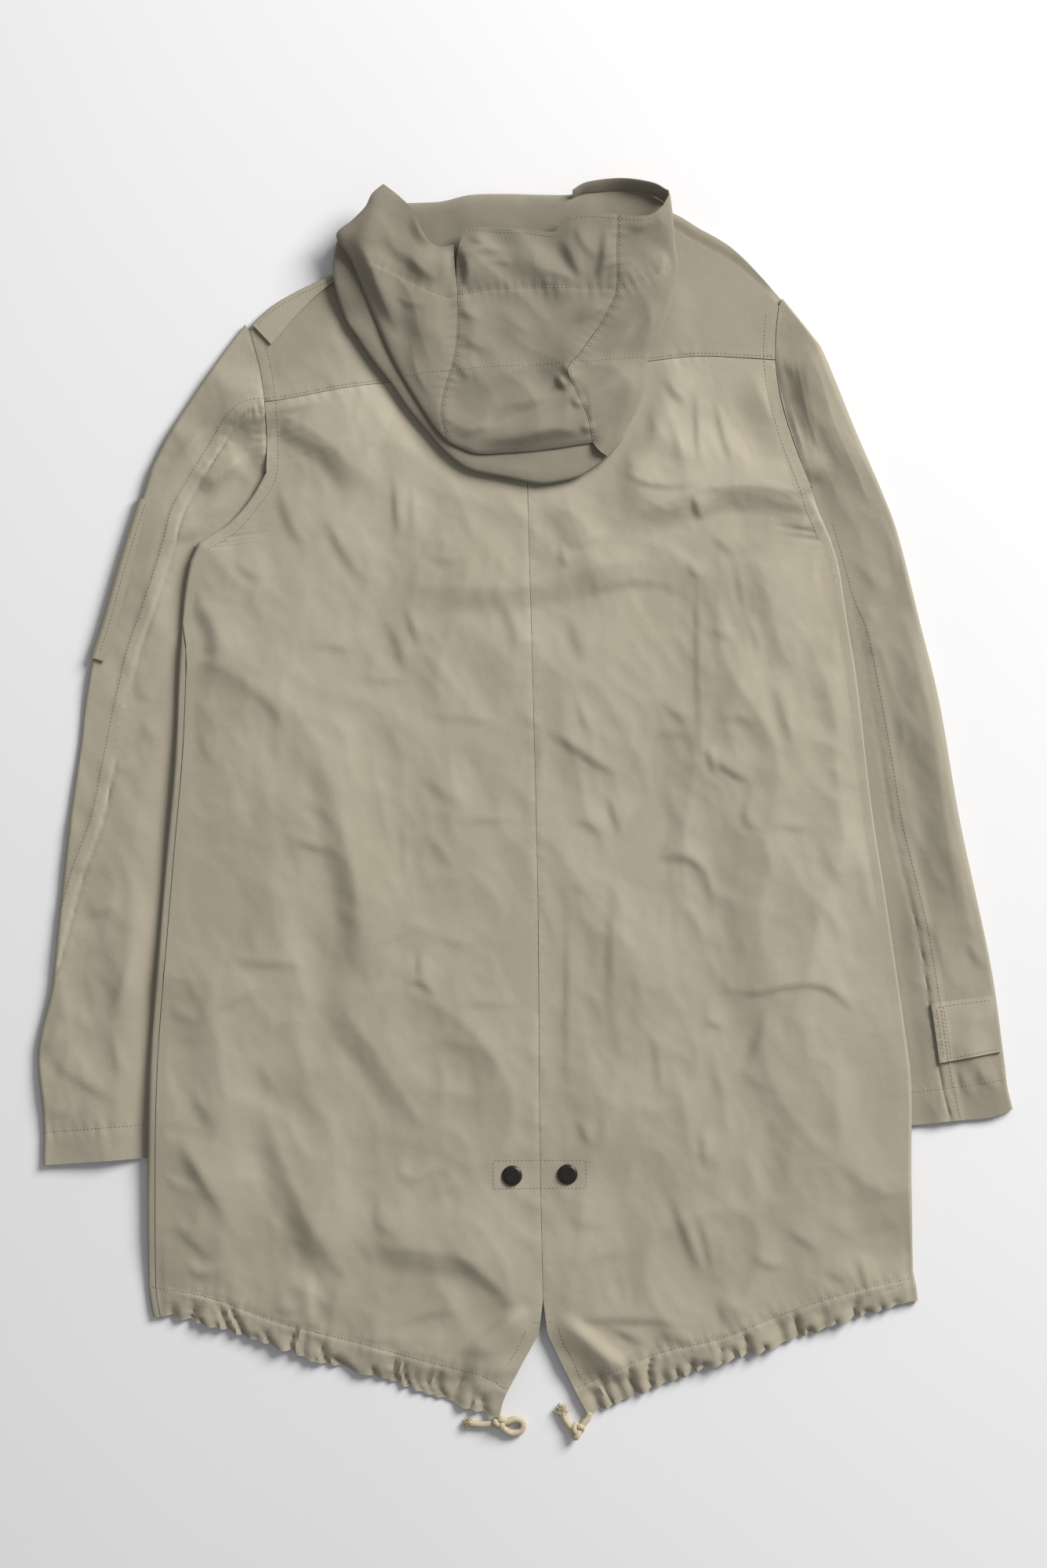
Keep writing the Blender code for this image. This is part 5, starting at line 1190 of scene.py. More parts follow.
def finish_cloth(name, node, bm, cut, wall, material):
    """Thickens the cloth, marks its rims sharp, hides the CAD solid it stands for and prints its
    size.
    """
    piece = shown(name, bm, material)
    if wall:
        solid = piece.modifiers.new("cloth", "SOLIDIFY")
        solid.thickness, solid.offset = wall * MM, 0.0
        solid.use_quality_normals = True
        graph, grid = bpy.context.evaluated_depsgraph_get(), piece.data
        piece.data = bpy.data.meshes.new_from_object(
            piece.evaluated_get(graph), preserve_all_data_layers=True, depsgraph=graph)
        piece.modifiers.clear()
        bpy.data.meshes.remove(grid)
    piece.data.set_sharp_from_angle(angle=RIM_ANGLE)
    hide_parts(node)
    half = sum(face.area for face in piece.data.polygons) / 2
    print(f"{name}: {len(piece.data.polygons)} faces, cloth {half:.4f} m2, cut {cut.area} m2")
    CLOTHS.append(piece)
    return piece


def patch(u, v, top, foot, left, right):
    """Points of a surface between four sides; each side maps shares to points."""
    one = np.ones(1)
    corner = [top(one * 0)[0], top(one)[0], foot(one * 0)[0], foot(one)[0]]
    a, b = u[:, None], v[:, None]
    across = (1 - b) * top(u) + b * foot(u)
    along = (1 - a) * left(v) + a * right(v)
    flat = ((1 - a) * (1 - b) * corner[0] + a * (1 - b) * corner[1]
            + (1 - a) * b * corner[2] + a * b * corner[3])
    return across + along - flat


def side(*runs):
    """A side of a patch, from lines and the shares where each ends."""
    if len(runs) == 1:
        return lambda share: at(runs[0], share)
    pairs = list(zip(runs[1::2], runs[0::2]))
    return lambda share: joined(share, *pairs)


# %% [markdown]
# ## The body
#
# The back's two halves are gathered on the drawcord at the hem and join the fronts round the
# sides. At each side the cloth turns over in a small roll with the side seam in it, and that
# roll is worked out once for both pieces so that they meet. The gathers are valleys that run
# up from the hem, past the casing's stitching, with full ridges between them. Each valley is
# placed where the photograph has one, so they differ in spacing, depth and lean, as cloth
# that was drawn up by hand does.

# %% The roll at the body's side
def edge_path(run, half):
    """Round a folded edge: inset from the edge and height above its middle.

    run is 0 where the lower layer starts to turn, pi * half where the upper layer is flat.
    """
    angle = np.clip(run / half, 0, math.pi)
    beyond = np.abs(run - angle * half)
    return half - half * np.sin(angle) + beyond, -half * np.cos(angle)


SIDE_COARSE = 16            # rows that the CAD model has along a side
FINER = 4                   # rows here for each of them
SIDE_ROWS = SIDE_COARSE * FINER
RIM_TILT = 0.12             # more gap where the cloth's cut rims lean to each other
EDGE_FLAT = 6.0             # flat cloth at the end of a brim
BACK_TURN = 2 / 3           # share of the back's brim that is in the turn of the edge
FRONT_TURN = (0.2, 0.8)     # shares of the front's brim between which it is in the turn


class BodySide:
    """One side of the body, where the back and a front meet round the edge.

    hand is +1 for the left side of the picture.
    """

    def __init__(self, hand):
        self.hand = hand
        lines = SIDE_LINES[hand]
        pit_top = PIT_TOP_LEFT if hand > 0 else PIT_TOP_RIGHT
        spots = [at(smooth(line), np.arange(rows * FINER) / (rows * FINER))
                 for line, rows in zip(lines, (2, 2, 2, 9, 1))]
        self.spots = np.vstack(spots + [np.array(lines[-1][-1:], dtype=float)])
        x, y = self.spots.T
        way = np.gradient(self.spots, axis=0)
        way /= np.hypot(*way.T)[:, None]
        self.into = hand * np.column_stack((-way[:, 1], way[:, 0]))
        level = ease(2 * FINER, 4 * FINER, np.arange(SIDE_ROWS + 1))
        level *= 1 - ease(15 * FINER, SIDE_ROWS, np.arange(SIDE_ROWS + 1))
        yoke = YOKE_SEAM_LEFT[:2] if hand > 0 else YOKE_SEAM_RIGHT[:-3:-1]
        yoke = np.diff(yoke, axis=0)[0] / math.dist(*yoke)
        self.into = level[:, None] * self.into + (1 - level)[:, None] * yoke
        self.into /= np.hypot(*self.into.T)[:, None]
        high, low = back_height(x + hand * 3, y), front_height(x + hand * 3, y)
        self.middle, self.half = (high + low) / 2, (high - low) / 2
        self.closed = 1 - ease(pit_top - 22, pit_top + 2, y)
        over = (1 - ease(112, 150, y)) * (hand > 0)
        self.seam = self.half * math.pi / 2 + over * (self.half * (math.pi / 2 - 1) + 5.5)

    def at_row(self, row, share, upper):
        """Points of the turned edge at whole rows."""
        half, seam, closed = self.half[row], self.seam[row], self.closed[row]
        level = 1 if upper else -1
        start = seam + level * (SEAM / 2 + RIM_TILT)
        if upper:
            turned = np.maximum(start + 1.0, half * math.pi)
            leg = (share - BACK_TURN) / (1 - BACK_TURN)
            run = np.where(share < BACK_TURN, start + (turned - start) * share / BACK_TURN,
                           turned + EDGE_FLAT * leg)
        else:
            into, out = FRONT_TURN
            turned = np.minimum(half * math.pi, 0.8 * start)
            run = np.where(share < into, start + (turned - start) * share / into,
                           turned * (out - share) / (out - into))
            run = np.where(share > out, -EDGE_FLAT * (share - out) / (1 - out), run)
        inset, rise = edge_path(run, half)
        inset = closed * (inset + CLOTH / 2) + (1 - closed) * np.abs(run - seam)
        rise = closed * rise + (1 - closed) * level * half
        spots = self.spots[row] + inset[:, None] * self.into[row]
        return np.column_stack((spots, self.middle[row] + rise))

    def brim(self, r, share, upper):
        """Points of the turned edge: share 0 at the side seam, 1 where the panel is flat."""
        row = np.clip(np.floor(r * FINER + 1e-6).astype(int), 0, SIDE_ROWS - 1)
        part = (r * FINER - row)[:, None]
        points = ((1 - part) * self.at_row(row, share, upper)
                  + part * self.at_row(row + 1, share, upper))
        return points.T

    def armhole(self, r):
        """Points of the sleeve's side of the armhole."""
        x, y = (np.interp(r * FINER, np.arange(SIDE_ROWS + 1), values)
                for values in self.spots.T)
        return np.column_stack((x - self.hand * (SEAM + 0.1), y))


SIDES = {hand: BodySide(hand) for hand in (1, -1)}

# %% Gathers of the hem
GATHERS_LEFT = (
    ((-282, -424), (-285, -401)), ((-271, -426), (-266, -409), (-269, -400)),
    ((-255, -429), (-266, -410)), ((-246, -432), (-253, -402)), ((-236, -433), (-250, -398)),
    ((-223, -437), (-237, -409), (-243, -396)), ((-212, -441), (-219, -426)),
    ((-201, -444), (-213, -422)), ((-186, -449), (-188, -436), (-180, -420)),
    ((-177, -452), (-178, -436), (-171, -416)), ((-167, -456), (-170, -441), (-164, -424)),
    ((-157, -459), (-164, -441), (-162, -426)), ((-142, -462), (-159, -444)),
    ((-119, -467), (-124, -452)), ((-111, -469), (-107, -455)),
    ((-102, -472), (-105, -455), (-96, -442)), ((-92, -476), (-97, -460), (-94, -444)),
    ((-81, -480), (-89, -463), (-83, -446)), ((-72, -483), (-79, -466), (-70, -446)),
    ((-63, -485), (-71, -470), (-64, -452)), ((-59, -486), (-52, -468), (-41, -452)),
    ((-44, -491), (-41, -468)), ((-33, -494), (-36, -475)))
GATHERS_RIGHT = (
    ((60, -492), (52, -470)), ((71, -488), (63, -471), (59, -452)),
    ((80, -485), (74, -471), (70, -455)), ((90, -480), (84, -466), (81, -446)),
    ((102, -476), (99, -460), (102, -445), (110, -430)), ((114, -472), (110, -458), (106, -444)),
    ((125, -468), (119, -452)), ((135, -465), (133, -447)), ((146, -462), (141, -449)),
    ((159, -458), (157, -441), (153, -428)), ((170, -454), (165, -437)),
    ((180, -452), (177, -436), (176, -422)), ((194, -448), (192, -434)),
    ((209, -443), (206, -430), (201, -410)), ((222, -439), (218, -425), (215, -408)),
    ((232, -436), (226, -421)), ((244, -432), (240, -420), (236, -402)),
    ((251, -430), (248, -413)), ((267, -425), (264, -411), (268, -396)),
    ((278, -422), (271, -405)), ((291, -418), (283, -400)), ((304, -415), (293, -397)))
GATHER_RISE, GATHER_DEPTH, GATHER_REACH = 2.8, 4.2, 7.0
CASING_ROWS = (14.3, 15.2)  # rows of a side over which the gathers begin
CLEAR = 0.1                 # left between the gathers' valleys and the front


def gathered(x, y, depth):
    """Rise of the hem's gathers: full ridges between sharp valleys that lean and wander."""
    valleys = grooves(GATHERS_LEFT + GATHERS_RIGHT, x, y, GATHER_DEPTH, GATHER_REACH)
    return (GATHER_RISE * (0.8 + 0.5 * swell(x, y, 26.0, 6.0)) + valleys) * depth


# %% Back and fronts
def trimmed(line, start):
    """The part of a line from a distance past its start."""
    return at(line, np.linspace(start / length_of(line), 1, len(line)))


BodyPanel = namedtuple("BodyPanel", "name hand upper top foot centre columns rows brim "
                                    "row_marks centre_marks")
BACK_COLUMNS, BACK_ROWS, BACK_BRIM, BACK_FINER = 16, 38, 3, 8
FRONT_COLUMNS, FRONT_BRIM, FRONT_FINER = 13, 5, 3


def body_panel(shape, height, finer, cut):
    """A back or front half: a flat patch and the columns of its turned edge beside it."""
    edge = SIDES[shape.hand]
    shared = shape.brim / shape.columns
    first = shape.row_marks[1][0]

    def brim_end(r):
        return np.column_stack(edge.brim(r, np.ones(len(r)), shape.upper))

    ends = brim_end(np.array([first, SIDE_COARSE], dtype=float))
    top = side(trimmed(shape.top, np.hypot(*(ends[0, :2] - shape.top[0]))))
    foot = side(trimmed(shape.foot, np.hypot(*(ends[1, :2] - shape.foot[0]))))

    def place(u, v):
        r = np.interp(v * shape.rows, *shape.row_marks)
        flat_u = np.clip((u - shared) / (1 - shared), 0, 1)
        ends = brim_end(r)
        down = (r - first) / (SIDE_COARSE - first)
        centre = at(shape.centre, np.interp(r, *shape.centre_marks))
        x, y = patch(flat_u, down, top, foot, lambda _: ends[:, :2], lambda _: centre).T
        step_back = ends[:, 2] - height(ends[:, 0], ends[:, 1])
        z = height(x, y) + step_back * (1 - ease(0, 0.2, flat_u))
        near = edge.brim(r, np.clip(u / shared, 0, 1), shape.upper)
        x, y, z = (np.where(u < shared - 1e-6, n, f) for n, f in zip(near, (x, y, z)))
        if shape.upper:
            depth = ease(*CASING_ROWS, r) * ease(shared * 0.7, shared + 0.06, u)
            wave = gathered(x, y, depth)
            y = y - 0.75 * wave * ease(15.5, SIDE_COARSE, r)
            z = z + wave - 0.8 * ease(15.7, SIDE_COARSE, r) * depth
            clear = front_height(x, y) + CLOTH + CLEAR
            z = np.where(u < shared, z, np.maximum(z, clear))
        return x, y, z

    return lay_cloth(shape.name + "_cloth", shape.name, shape.columns * finer,
                     shape.rows * finer, place, cut)


def back_panel(name, hand, cut):
    """One half of the back, from the yoke to the gathered hem."""
    yoke, hem, slit = YOKE_SEAM_LEFT, HEM_LEFT, SLIT_LEFT
    if hand < 0:
        yoke, hem, slit = YOKE_SEAM_RIGHT[::-1], HEM_RIGHT[::-1], SLIT_RIGHT
    centre = aside(smooth(CENTRE_BACK), -hand * SEWN)
    centre = np.vstack((centre[:-1], smooth(slit)[1:]))
    shape = BodyPanel(
        name, hand, True, aside(smooth(yoke), -hand * SEWN), smooth(hem), centre,
        BACK_COLUMNS, BACK_ROWS, BACK_BRIM, ((0, 4, 8, 35, 38), (2, 4, 6, 15, 16)),
        ((2, 4, 6, 14.333, 15, 16), (0, 0.075, 0.155, 0.905, 0.972, 1)))
    return body_panel(shape, back_height, BACK_FINER, cut)


def front_panel(name, hand, cut):
    """One front, flat on the table, its side turned up round the edge to the side seam."""
    shoulder, neck, hem = SHOULDER_LEFT, FRONT_NECK_LEFT, FRONT_HEM_LEFT
    if hand < 0:
        shoulder, neck, hem = SHOULDER_RIGHT[::-1], FRONT_NECK_RIGHT[::-1], FRONT_HEM_RIGHT[::-1]
    top = np.vstack((aside(smooth(shoulder), -hand * SHOULDER_INSET), smooth(neck)[2:]))
    centre = aside(smooth(CENTRE_FRONT), -hand * SEAM / 2)
    shape = BodyPanel(
        name, hand, False, top, smooth(hem), centre, FRONT_COLUMNS, SIDE_COARSE, FRONT_BRIM,
        ((0, SIDE_COARSE), (0, SIDE_COARSE)),
        ((0, 2, 4, 6, 15, 16), (0, 0.09, 0.16, 0.235, 0.98, 1)))
    return body_panel(shape, front_height, FRONT_FINER, cut)


back_panel("back_left", 1, Cut(0.34, 0.86, 0.235))
back_panel("back_right", -1, Cut(0.34, 0.86, 0.235))
front_panel("front_left", 1, Cut(0.34, 0.86, 0.235))
front_panel("front_right", -1, Cut(0.34, 0.86, 0.235))

# %% [markdown]
# ### The yoke
#
# The yoke crosses the shoulders in one piece and is topstitched to the back. The hood hides
# its middle.

# %% Yoke
def yoke_panel(cut):
    """The yoke: one piece from shoulder to shoulder."""
    top = [aside(smooth(line), -SHOULDER_INSET)
           for line in (SHOULDER_LEFT, BACK_NECK, SHOULDER_RIGHT)]
    foot = [aside(smooth(line), SEWN) for line in (YOKE_SEAM_LEFT, YOKE_SEAM_RIGHT)]
    left = aside(smooth(YOKE_ARMHOLE_LEFT), SEAM / 2)
    right = aside(smooth(YOKE_ARMHOLE_RIGHT), -SEAM / 2)

    def place(u, v):
        x, y = patch(u, v, side(top[0], 0.36, top[1], 0.7, top[2], 1.0),
                     side(foot[0], 0.5, foot[1], 1.0), side(left), side(right)).T
        return x, y, back_height(x, y)

    # the yoke takes the twill in painted shade
    return lay_cloth("yoke_cloth", "yoke", 168, 36, place, cut, material=TWILL_SHADED)


yoke_panel(Cut(0.45, 0.12, 0.038))

# %% [markdown]
# ## The sleeves
#
# A sleeve is one piece of cloth closed to a tube, and it lies flattened with its open cuff
# at the bottom. Its head meets the armhole, and below that it goes under the body, where the
# back's side rolls over it. The seam that shows along its upper side is drawn in by
# its stitching.

# %% Sleeves
Sleeve = namedtuple("Sleeve", "name hand top shoulder outer inner cuff pit_top")
SLEEVES = (
    Sleeve("sleeve_left", 1, SLEEVE_TOP_LEFT, SLEEVE_SHOULDER_LEFT, SLEEVE_OUTER_LEFT,
           SLEEVE_INNER_LEFT, CUFF_END_LEFT, PIT_TOP_LEFT),
    Sleeve("sleeve_right", -1, SLEEVE_TOP_RIGHT, SLEEVE_SHOULDER_RIGHT, SLEEVE_OUTER_RIGHT,
           SLEEVE_INNER_RIGHT, CUFF_END_RIGHT, PIT_TOP_RIGHT),
)
SLEEVE_ROWS, HEAD_ROWS = 20, 5
HEAD_SPOTS = (0, 1, 2, 3, 3.5, 4)      # rows of the armhole that the sleeve's head meets
UPPER_END, INNER_END, LOWER_END, OUTER_END = 8, 12, 18, 22    # columns of a sleeve's tube
SLEEVE_COLUMNS = (0, 80, 96, 112, 128)      # upper wall, inner turn, lower wall, outer turn
SLEEVE_ROWS_FINER = 10      # rows here for each of the CAD model's


def sleeve(shape, cut):
    """A sleeve: one piece of cloth round the arm, open at its cuff and along the armhole."""
    pit = HEAD_ROWS / SLEEVE_ROWS
    top, cuff = side(smooth(shape.top)), side(smooth(shape.cuff))
    outer = side(smooth(shape.shoulder), pit, smooth(shape.outer), 1.0)
    edge, below = SIDES[shape.hand], smooth(shape.inner)

    def inner(v):
        head = edge.armhole(np.interp(v * SLEEVE_ROWS, range(HEAD_ROWS + 1), HEAD_SPOTS))
        return np.where((v < pit + 1e-6)[:, None], head, at(below, (v - pit) / (1 - pit)))

    def place(u, v):
        k = np.interp(u * SLEEVE_COLUMNS[-1], SLEEVE_COLUMNS,
                      (0, UPPER_END, INNER_END, LOWER_END, OUTER_END))
        out_x, out_y = outer(v).T
        in_x, in_y = inner(v).T
        wide = np.hypot(out_x - in_x, out_y - in_y)
        half_out = (sleeve_height(out_x, out_y) - sleeve_low(out_x, out_y)) / 2
        half_in = np.where(v > pit - 1e-6, SLEEVE_RISE / 2, 0.0)
        start, stop = half_out / wide, 1 - half_in / wide
        turn_in = math.pi * (0.5 - (k - UPPER_END) / (INNER_END - UPPER_END))
        turn_out = math.pi * ((k - LOWER_END) / (OUTER_END - LOWER_END) - 0.5)
        below = (k - INNER_END) / (LOWER_END - INNER_END)
        stretch = [k <= UPPER_END, k < INNER_END, k <= LOWER_END]
        across = np.select(stretch, [start + (stop - start) * k / UPPER_END,
                                     1 - half_in * (1 - np.cos(turn_in)) / wide,
                                     stop + (start - stop) * below],
                           half_out * (1 - np.cos(turn_out)) / wide)
        level = np.select(stretch, [1.0, np.sin(turn_in), -1.0], np.sin(turn_out))
        x, y = patch(across, v, top, cuff, outer, inner).T
        sewn = 1 - ease(0, 26, (1 - across) * wide)
        sewn = sewn * ease(shape.pit_top, shape.pit_top + 24, in_y)
        high = sleeve_height(x, y) + sewn * (back_height(in_x + shape.hand * 3, in_y)
                                             - sleeve_height(in_x, in_y))
        low = sleeve_low(x, y)
        return x, y, (high + low) / 2 + level * (high - low) / 2

    # the right sleeve takes the twill in painted shade, the left the plain twill
    return lay_cloth(shape.name + "_cloth", shape.name, SLEEVE_COLUMNS[-1],
                     SLEEVE_ROWS * SLEEVE_ROWS_FINER, place, cut,
                     material=TWILL if shape.hand > 0 else TWILL_SHADED,
                     tube=(pit, SLEEVE_COLUMNS[1] / SLEEVE_COLUMNS[-1],
                           SLEEVE_COLUMNS[2] / SLEEVE_COLUMNS[-1]))


for shape in SLEEVES:
    sleeve(shape, Cut(0.36, 0.68, 0.170))

# %% [markdown]
# ### Pocket, cuff strap and epaulettes
#
# The small parts are two or more layers pressed flat. The pocket on the left sleeve wraps its
# outer edge, so only its folded hem shows. The strap on the right cuff runs from the sleeve's
# seam to its outer edge. The left epaulette is folded over the shoulder, and the right one
# lies under it and shows as a thin edge.

# %% Small parts
def turned(rim, v):
    """Points along a line, and the direction to its left at each."""
    way = np.gradient(rim, axis=0)
    way = at(way / np.hypot(*way.T)[:, None], v)
    return at(rim, v), np.column_stack((-way[:, 1], way[:, 0]))


def wrap_run(u, columns, over, half, under):
    """Run round an edge for edge_path: columns in the upper leg, the turn and the lower leg."""
    k = u * sum(columns)
    first, second = columns[0], columns[0] + columns[1]
    upper = half * math.pi + over * (1 - k / first)
    turn = half * math.pi * (second - k) / columns[1]
    lower = -under * (k - second) / columns[2]
    return np.select([k < first, k < second], [upper, turn], lower)


def sleeve_pocket(cut):
    """The pocket on the left sleeve: it wraps the outer edge, so only that edge shows."""
    rim = at(SLEEVE_RIM, np.linspace(0.045, 0.28, 40))
    half, spare, columns = 4.3, 2.6, (2, 4, 2)

    def place(u, v):
        foot, into = turned(rim, v)
        over = 4.0 + 4.0 * ease(0, 0.5, v)
        inset, rise = edge_path(wrap_run(u, columns, over, half, 16.0), half)
        x, y = (foot + (inset - spare)[:, None] * into).T
        return x, y, FLOOR + half + rise

    return lay_cloth("sleeve_pocket_cloth", "sleeve_pocket_left", 40, 60, place, cut)


def cuff_strap(cut):
    """The strap on the right cuff, from the sleeve's seam across to its outer edge."""
    top, foot = (side(np.array(line)) for line in CUFF_STRAP)
    left, right = (side(np.array(line)) for line in zip(*CUFF_STRAP))

    def place(u, v):
        x, y = patch(u, v, top, foot, left, right).T
        rise = CLOTH / 2 + STRAP / 2 + 0.7 + 0.5 * swell(x, y, 18.0, 2.0)
        return x, y, sleeve_height(x, y) + rise

    return lay_cloth("cuff_strap_cloth", "cuff_strap_right", 26, 24, place, cut, wall=STRAP)


def shoulder_strap_left(cut):
    """The left epaulette, folded over the shoulder."""
    rim = at(smooth(SHOULDER_LEFT), np.linspace(0.03, 0.72, 40))
    half, columns = 2.95, (3, 4, 3)

    def place(u, v):
        foot, out = turned(rim, v)
        shows = 2.0 + 17.0 * (1 - ease(0.0, 0.85, v))
        inset, rise = edge_path(wrap_run(u, columns, shows, half, 21.0), half)
        x, y = (foot - (inset + STRAP / 2)[:, None] * out).T
        return x, y, STRAP / 2 + half + rise

    return lay_cloth("epaulette_left_cloth", "epaulette_left", 40, 48, place, cut, wall=STRAP)


def shoulder_strap_right(cut):
    """The right epaulette: it lies under the shoulder and stands out past it."""
    rim = at(smooth(SHOULDER_RIGHT), np.linspace(0.1, 1.0, 40))

    def place(u, v):
        foot, out = turned(rim, v)
        reach = 2.0 + 6.5 * (1 - ease(0.3, 1.0, v)) - 38.0 * u
        x, y = (foot + reach[:, None] * out).T
        return x, y, STRAP / 2 + 2.4 * ease(-3, 7, reach) * (1 - ease(0.8, 0.95, v))

    return lay_cloth("epaulette_right_cloth", "epaulette_right", 32, 48, place, cut, wall=STRAP)


sleeve_pocket(Cut(0.055, 0.14, 0.0062))
cuff_strap(Cut(0.052, 0.049, 0.0025))
shoulder_strap_left(Cut(0.05, 0.12, 0.0045))
shoulder_strap_right(Cut(0.04, 0.12, 0.0045))

# %% [markdown]
# ## The hood
#
# The hood lies on the yoke with its mouth to the top of the picture. Its lower layers are
# hidden, so they are one rounded solid whose rim shows as a second edge beside the folds.
# Over it lie the three panels of the upper layer. The crown panel is edged by two seams, and
# a faced hem runs across all three below the mouth. At the upper right the hood's far lip
# stands up behind the mouth and leaves a dark hollow.

# %% Heights of the hood
HOOD_LAYERS = 7.5           # the hood's hidden layers, pressed together
NAPE = 3.5                  # what the roll over the neck adds to them
HOOD_CROWN = 3.6            # rise of the upper layer inwards from its folded rim
MOUTH, MOUTH_RIGHT, MOUTH_LEFT = 6.5, 5.0, 3.0      # rise at the mouth, and more at its sides
CROWDED = 0.82              # how far the hidden layers' points crowd toward the rim


def hood_base(x, y):
    """Underside of the hood: just clear of the yoke, the back and the left strap."""
    over_strap = 3.6 * (1 - ease(-128, -100, x)) * ease(385, 410, y)
    return back_height(x, y) + CLOTH / 2 + 0.7 + over_strap


def hood_layers_top(x, y):
    """Top of the hidden layers; at the nape it rises and rolls over the neck."""
    return hood_base(x, y) + HOOD_LAYERS + NAPE * ease(440, 478, y)


def rounded(far, radius):
    """A quarter round: 0 at a rim, 1 where it is as far in as the radius."""
    return np.sqrt(1 - (1 - np.clip(far / radius, 0, 1)) ** 2)


UPPER_RIM = smooth(HOOD_SIDE_LEFT + HOOD_FOLD[1:] + HOOD_FOLD_FOOT[1:])
UPPER_SIDE = smooth(HOOD_SIDE_RIGHT)
HOOD_FACING = smooth(((-120, 428), (-69, 404), (-52, 404), (-18, 409), (64, 409), (73, 407),
                      (101, 418), (117, 428)))
HOOD_SEAMS = (smooth(HOOD_SEAM_LEFT), smooth(HOOD_SEAM_RIGHT))


def hood_height(x, y):
    """Middle surface of the hood's upper layer: low at its folds, high at its mouth."""
    rest = hood_layers_top(x, y) + 0.6 + CLOTH / 2
    left = nearest(UPPER_RIM, x, y)[0]
    right = nearest(UPPER_SIDE, x, y)[0]
    rim = np.minimum(left, right)
    crown = HOOD_CROWN * rounded(rim, 14.0)
    mouth = ease(395, 470, y) * (MOUTH + MOUTH_RIGHT * ease(20, 95, x)
                                 + MOUTH_LEFT * (1 - ease(-120, -70, x)))
    relief = 1.3 * raised(HOOD_CREASES, x, y, *PRESSED)
    relief += 0.8 * swell(x, y, 40.0, 8.0) + 1.7 * crumpled(x, y, 34.0, 3.0)
    relief += 0.5 * swell(x, y, 16.0, 5.0)
    for line in HOOD_SEAMS:
        relief += puckered(line, x, y, 0.3, 8.0)
    relief += puckered(HOOD_FACING, x, y, 0.35, 8.0, 8.0)
    return (rest + crown + mouth
            + (raised(HOOD_FOLDS, x, y, *ROLLED) + np.maximum(relief, MOST_DIP)) * ease(0, 12, rim))


# %% Hood's lower layers
def hood_under(cut):
    """The hood's lower layers as one rounded solid; its rim shows below the upper layer."""
    left = smooth(HOOD_OUTLINE[2:12])
    right = smooth(HOOD_OUTLINE[31:20:-1])
    foot = smooth(HOOD_OUTLINE[11:22])
    top = smooth(HOOD_UNDER_TOP)
    rim = smooth(HOOD_OUTLINE[2:31] + HOOD_UNDER_TOP[::-1], 4)
    bm = flat_grid(84, 72, cut)
    kept = bmesh.ops.extrude_face_region(bm, geom=bm.faces[:], use_keep_orig=True)
    for vert in kept["geom"]:
        if isinstance(vert, bmesh.types.BMVert):
            vert.co.z = 1.0
    level = np.array([vert.co.z for vert in bm.verts])
    u, v = (0.5 + 0.5 * np.sin((share - 0.5) * math.pi * CROWDED)
            / math.sin(0.5 * math.pi * CROWDED) for share in shares(bm))
    x, y = patch(u, v, side(top), side(foot), side(left), side(right)).T
    low, high = hood_base(x, y), hood_layers_top(x, y)
    far = nearest(rim, x, y)[0]
    spread = (high - low) / 2 * (0.28 + 0.72 * rounded(far, 9.0))
    z = (low + high) / 2 + np.where(level > 0.5, spread + 0.3 * swell(x, y, 15.0, 1.0), -spread)
    carry(bm, x, y, z, np.exp(-(far / 4.0) ** 2))
    bmesh.ops.recalc_face_normals(bm, faces=bm.faces)
    # the hidden layers take the hood's twill in painted shade
    return finish_cloth("hood_under_cloth", "hood_under", bm, cut, None, TWILL_HOOD_SHADED)


hood_under(Cut(0.29, 0.25, 0.0500))


# %% Hood's upper panels
def hood_panel(name, columns, rows, top, foot, left, right, cut):
    """One panel of the hood's upper layer, between its four edges."""
    def place(u, v):
        x, y = patch(u, v, side(top), side(foot), side(left), side(right)).T
        return x, y, hood_height(x, y)

    # the hood's panels take the twill in painted shade
    return lay_cloth(name + "_cloth", name, columns, rows, place, cut, material=TWILL_HOOD_SHADED)


hood_panel("hood_left", 36, 84, smooth(HOOD_LIP_LEFT), smooth(((-73, 299), (-62.4, 287))),
           smooth(HOOD_SIDE_LEFT + HOOD_FOLD[1:-1]), aside(smooth(HOOD_SEAM_LEFT), -SEWN),
           Cut(0.105, 0.23, 0.0140))
hood_panel("hood_centre", 66, 98, smooth(HOOD_LIP_CROWN), smooth(HOOD_FOLD_FOOT),
           aside(smooth(HOOD_SEAM_LEFT_CROWN), SEWN),
           aside(smooth(HOOD_SEAM_RIGHT), -SEWN), Cut(0.145, 0.20, 0.0220))
hood_panel("hood_right", 36, 98, smooth(HOOD_LIP_RIGHT), trimmed(smooth(HOOD_FOOT_RIGHT), 1.0),
           aside(smooth(HOOD_SEAM_RIGHT), SEWN), smooth(HOOD_SIDE_RIGHT),
           Cut(0.075, 0.21, 0.0090))


# %% The far lip
LIP_RISE, LIP_MORE = 5.0, 9.0       # its height at the left end, and what it gains to the right
LIP_FOOT = 0.9              # from the hidden layers to its foot
LIP_LEAN, LIP_LEAN_MORE = 5.0, 3.0


def far_lip(cut):
    """The far side of the mouth: it stands on the hidden layers and leans inwards."""
    rim = smooth(HOOD_RIM + ((114.5, 484.8),))

    def place(u, v):
        x, y = at(rim, u).T
        low = hood_layers_top(x, y) + LIP_FOOT
        high = low + LIP_RISE + LIP_MORE * ease(0.1, 0.9, u)
        lean = (LIP_LEAN + LIP_LEAN_MORE * ease(0, 0.3, u)) * v ** 0.7
        return x, y - lean, high + (low - high) * v

    # the far lip takes the hood's twill in painted shade
    return lay_cloth("hood_rim_cloth", "hood_rim_right", 50, 16, place, cut, material=TWILL_HOOD_SHADED)


far_lip(Cut(0.08, 0.02, 0.0014))

